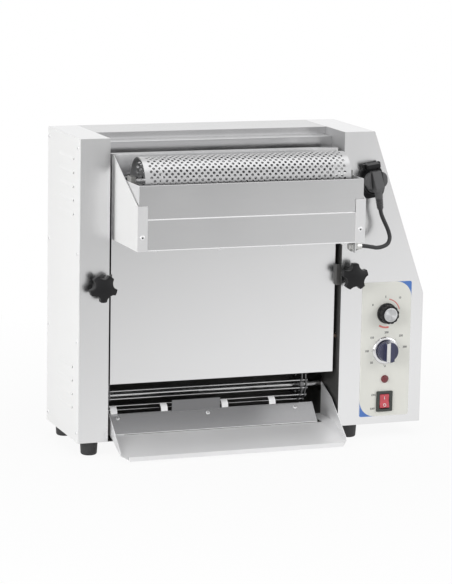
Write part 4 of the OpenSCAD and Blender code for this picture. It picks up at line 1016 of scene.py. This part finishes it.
class TOASTER_OT_fasteners(bpy.types.Operator):
    """Cross-head screws of the covers, the outlet and the trough, and the trough's rivets"""

    bl_idname = "toaster.fasteners"
    bl_label = "Fasteners"

    def execute(self, context):
        tree = scatter_tree("fasteners_on_points", "Z", "AUTO")
        # The second finish is painted shade in the screws' recesses and on the rivets' mandrels
        finishes = ("rivet_bright", "recess_dark")
        for node, name, facing, shapes in (
            ("panel_screws", "cover_screws", None, (pan_head_object, cross_object)),
            ("trough_rivets", "trough_blind_rivets", (0, -1, 0), (rivet_object, mandrel_object)),
        ):
            kinds = {}
            for place, aim, r, h in self.heads(node):
                kinds.setdefault((r, h), []).append((place, facing or aim))
            groups, layers = [], []
            for (r, h), places in sorted(kinds.items()):
                for layer, shape in enumerate(shapes):
                    group = scattered(name, tree, places, shape("head", r / 1000, h / 1000), finishes[layer])
                    layers += [layer] * len(group.data.polygons)
                    groups.append(group)
            made = joined(name, groups)
            soften(made.data, 40)
            dress(made, "screw_steel", "casing", node, finish=finishes[0])
            made.data.materials.append(finish_of(finishes[1]))
            made.data.polygons.foreach_set("material_index", layers)
        return {"FINISHED"}

    @staticmethod
    def heads(node):
        """Place, facing, radius and height of every screw head, read from the CAD screws."""
        bm = bmesh.new()
        bm.from_mesh(frame["nodes"][node].data)
        bmesh.ops.remove_doubles(bm, verts=bm.verts, dist=MERGE)
        left, found = set(bm.verts), []
        for seed in list(bm.verts):
            if seed not in left:
                continue
            left.discard(seed)
            todo, group = [seed], []
            while todo:
                v = todo.pop()
                group.append(v)
                near = [w for w in (e.other_vert(v) for e in v.link_edges) if w in left]
                left.difference_update(near)
                todo += near
            sides = {}
            for f in {f for v in group for f in v.link_faces}:
                key = tuple(round(c, 2) for c in f.normal)
                sides[key] = sides.get(key, 0) + f.calc_area()
            axis = Vector(max(sides, key=sides.get)).normalized()
            mid = sum((v.co for v in group), Vector()) / len(group)
            along = [(v.co - mid).dot(axis) for v in group]
            out = [(v.co - mid - axis * s).length for v, s in zip(group, along)]
            rim = [s for s, r in zip(along, out) if r > RIM_SHARE * max(out)]
            base = sum(rim) / len(rim)
            way = 1 if max(along) - base < base - min(along) else -1
            tip = max(along) if way > 0 else min(along)
            found.append((on_bench(mid + axis * base), tuple(axis * way),
                          round(1000 * max(out), 1), round(1000 * abs(tip - base), 1)))
        bm.free()
        return found


class TOASTER_OT_turned_parts(bpy.types.Operator):
    """Spun dial cap, chrome dial ring and the lamp's lens"""

    bl_idname = "toaster.turned_parts"
    bl_label = "Turned parts"

    def execute(self, context):
        mid, back, r, h = self.measures("speed_dial_cap")
        cap = turned("dial_cap", [
            (0, 0), (r, 0), (r, 0.5 * h), (r - 0.5, 0.8 * h), (r - 1.2, h), (r - 2.2, h), (r - 2.5, 0.82 * h),
            (r - 2.8, h), (0.4, 1.02 * h), (0, 1.02 * h)], (mid.x, back, mid.z), 72)
        dress(cap, "dial_silver", "speed", "speed_dial_cap")
        mid, back, r, h = self.measures("temperature_ring")
        bore = r - 7.5
        ring = turned("dial_ring", [
            (bore, 0), (r, 0), (r - 0.15, 0.3 * h), (r - 0.8, 0.62 * h), (r - 1.9, 0.88 * h), (r - 3.1, h),
            (bore + 1.6, h), (bore + 0.5, 0.9 * h), (bore, 0.7 * h), (bore, 0)], (mid.x, back, mid.z), 72)
        dress(ring, "ring_chrome", "casing", "temperature_ring")
        mid, back, r, h = self.measures("heating_lamp")
        stem, dome = back + 1, 4
        lens = turned("lamp_lens", [
            (0, -stem), (5, -stem), (5, 0), (r, 0), (r, 1.1), (r - 0.7, 1.7), (r - 1.1, 1.7), (r - 1.5, 2.5),
            (r - 2.6, 3.3), (r - 4.4, 3.8), (0, dome)], (mid.x, back - h + dome, mid.z), 14)
        lens.data.shade_flat()
        dress(lens, "lamp_red", "casing", "heating_lamp")
        return {"FINISHED"}

    @staticmethod
    def measures(node):
        """Middle, back, radius and depth of a round piece on the front."""
        low, high = bench_box(node)
        return (low + high) / 2, high.y, (high.x - low.x) / 2, high.y - low.y


class TOASTER_OT_plate_print(bpy.types.Operator):
    """Printing and corners of the control plate, and the marks on dials and switch"""

    bl_idname = "toaster.plate_print"
    bl_label = "Plate print"

    def execute(self, context):
        low, high = bench_box("control_plate")
        self.corners(low, high)
        self.ticks(low.y)
        speed = middle("speed_dial_cap")
        bands = [arc(speed.x, speed.z, r0, start, end, 16) + arc(speed.x, speed.z, r1, end, start, 16)
                 for start, end, r0, r1 in SPEED_BANDS]
        self.printed("speed_band", bands, low.y, "print_red")
        bm = bmesh.new()
        for node, words in FIGURES.items():
            centre = middle(node)
            for word, dx, dz in words:
                self.letters(bm, word, at(centre.x + dx, low.y - FIGURE_OUT, centre.z + dz))
        dress(from_bmesh("dial_numbers", bm), "cream_plate", "casing", finish="print_black")
        self.dial_bar()
        self.switch_signs()
        return {"FINISHED"}

    @staticmethod
    def printed(name, outlines, face, finish):
        """Flat print on the control plate."""
        bm = bmesh.new()
        for outline in outlines:
            flat_piece(bm, outline, face - PRINT_OUT, face + PRINT_IN)
        dress(from_bmesh(name, bm), "cream_plate", "casing", finish=finish)

    def corners(self, low, high):
        """Blue fills in two corners of the plate, outside a quarter round."""
        outlines = []
        for corner, way, turn in ((high, 1, 0), (low, -1, 180)):
            small, big = ((corner.x - way * r, corner.z - way * r, r) for r in (CORNER_SMALL, CORNER_BIG))
            outlines.append(arc(*small, turn + 90, turn, 6) + arc(*big, turn, turn + 90, 24))
        self.printed("plate_corners", outlines, low.y, "corner_blue")

    @staticmethod
    def ticks(face):
        """Ticks round the temperature dial."""
        low, high = bench_box("temperature_ring")
        r = (high.x - low.x) / 2 + TICK_GAP
        hub = (low + high) / 2
        hub.y = face
        aims = [Vector((math.cos(a), 0, math.sin(a))) for a in map(math.radians, TICK_TURNS)]
        bm = bmesh.new()
        prism(bm, *([Vector((x, y, z)) / 1000 for x, z in TICK_OUTLINE] for y in (-PRINT_OUT, PRINT_IN)))
        made = scattered("dial_ticks", scatter_tree("dial_ticks", "X", "Y"),
                         [(hub + r * aim, aim) for aim in aims], from_bmesh("tick", bm), "print_black")
        dress(made, "cream_plate", "casing", finish="print_black")

    @staticmethod
    def letters(bm, word, place):
        """Printed figures as a thin mesh on the plate."""
        curve = bpy.data.curves.new("figures", "FONT")
        curve.body = word
        curve.size = FIGURE_SIZE
        curve.align_x = "CENTER"
        curve.align_y = "CENTER"
        curve.extrude = 0.00003
        curve.offset = 0.00012
        curve.resolution_u = 3
        obj = plain(new_object("figures", curve))
        obj.data.transform(Matrix.Translation(place) @ FACE_FRONT)
        bm.from_mesh(obj.data)
        drop(obj)
        bpy.data.curves.remove(curve)

    @staticmethod
    def dial_bar():
        """The white bar on the temperature dial, cut to the dial's round."""
        low, high = bench_box("temperature_dial")
        reach = (high.z - low.z) / 2 - 1
        hub = middle("temperature_ring")
        sides = [(dx, math.sqrt(reach ** 2 - dx ** 2) - BAR_INSET) for dx in BAR_SIDES]
        outline = [(dx, rise) for dx, rise in sides] + [(dx, -rise) for dx, rise in sides[::-1]]
        bm = bmesh.new()
        flat_piece(bm, [(hub.x + dx, hub.z + dz) for dx, dz in outline], low.y - 0.12, low.y + 0.5)
        dress(from_bmesh("dial_bar", bm), "dial_navy", "heat", finish="mark_white")

    @staticmethod
    def switch_signs():
        """The stroke and the ring on the two halves of the rocker."""
        mid = middle("rocker")
        bm = bmesh.new()
        flat_piece(bm, [(mid.x + dx, mid.z + dz) for dx, dz in STROKE], -3.05, -2.4)
        rings = []
        for turn in (2 * math.pi * k / RING_STEPS for k in range(RING_STEPS)):
            section = [(r * math.cos(turn), RING_Z + r * math.sin(turn), lift) for r, lift in RING_SECTION]
            rings.append([bm.verts.new(at(mid.x + dx, RING_Y + LEAN_Y * down - lift, mid.z + LEAN_Z * down))
                          for dx, down, lift in section])
        for k, ring in enumerate(rings):
            for i in range(len(ring)):
                bm.faces.new((rings[k - 1][i - 1], ring[i - 1], ring[i], rings[k - 1][i]))
        bmesh.ops.recalc_face_normals(bm, faces=bm.faces)
        dress(from_bmesh("switch_signs", bm), "rocker_red", "switch", finish="mark_white")


STEPS = (TOASTER_OT_stage, TOASTER_OT_finishes, TOASTER_OT_lead, TOASTER_OT_sheet, TOASTER_OT_drum,
         TOASTER_OT_mouldings, TOASTER_OT_turned_parts, TOASTER_OT_fasteners, TOASTER_OT_plate_print)


class TOASTER_PT_panel(bpy.types.Panel):
    """Steps and settings of the toaster"""

    bl_idname = "TOASTER_PT_panel"
    bl_label = "Bun toaster"
    bl_space_type = "VIEW_3D"
    bl_region_type = "UI"
    bl_category = "Toaster"

    def draw(self, context):
        for step in STEPS:
            self.layout.operator(step.bl_idname)
        for group in settings():
            box = self.layout.box()
            for name in group.__annotations__:
                box.prop(group, name)


GROUPS = (ToasterStage, ToasterColours, ToasterSizes)


def register():
    for cls in GROUPS + STEPS + (TOASTER_PT_panel,):
        bpy.utils.register_class(cls)
    bpy.types.Scene.toaster_stage = PointerProperty(type=ToasterStage)
    bpy.types.Scene.toaster_colours = PointerProperty(type=ToasterColours)
    bpy.types.Scene.toaster_sizes = PointerProperty(type=ToasterSizes)


def unregister():
    for name in ("toaster_stage", "toaster_colours", "toaster_sizes"):
        delattr(bpy.types.Scene, name)
    for cls in reversed(GROUPS + STEPS + (TOASTER_PT_panel,)):
        bpy.utils.unregister_class(cls)


def main():
    register()
    for step in STEPS:
        family, name = step.bl_idname.split(".")
        getattr(getattr(bpy.ops, family), name)()


if __name__ == "__main__":
    main()
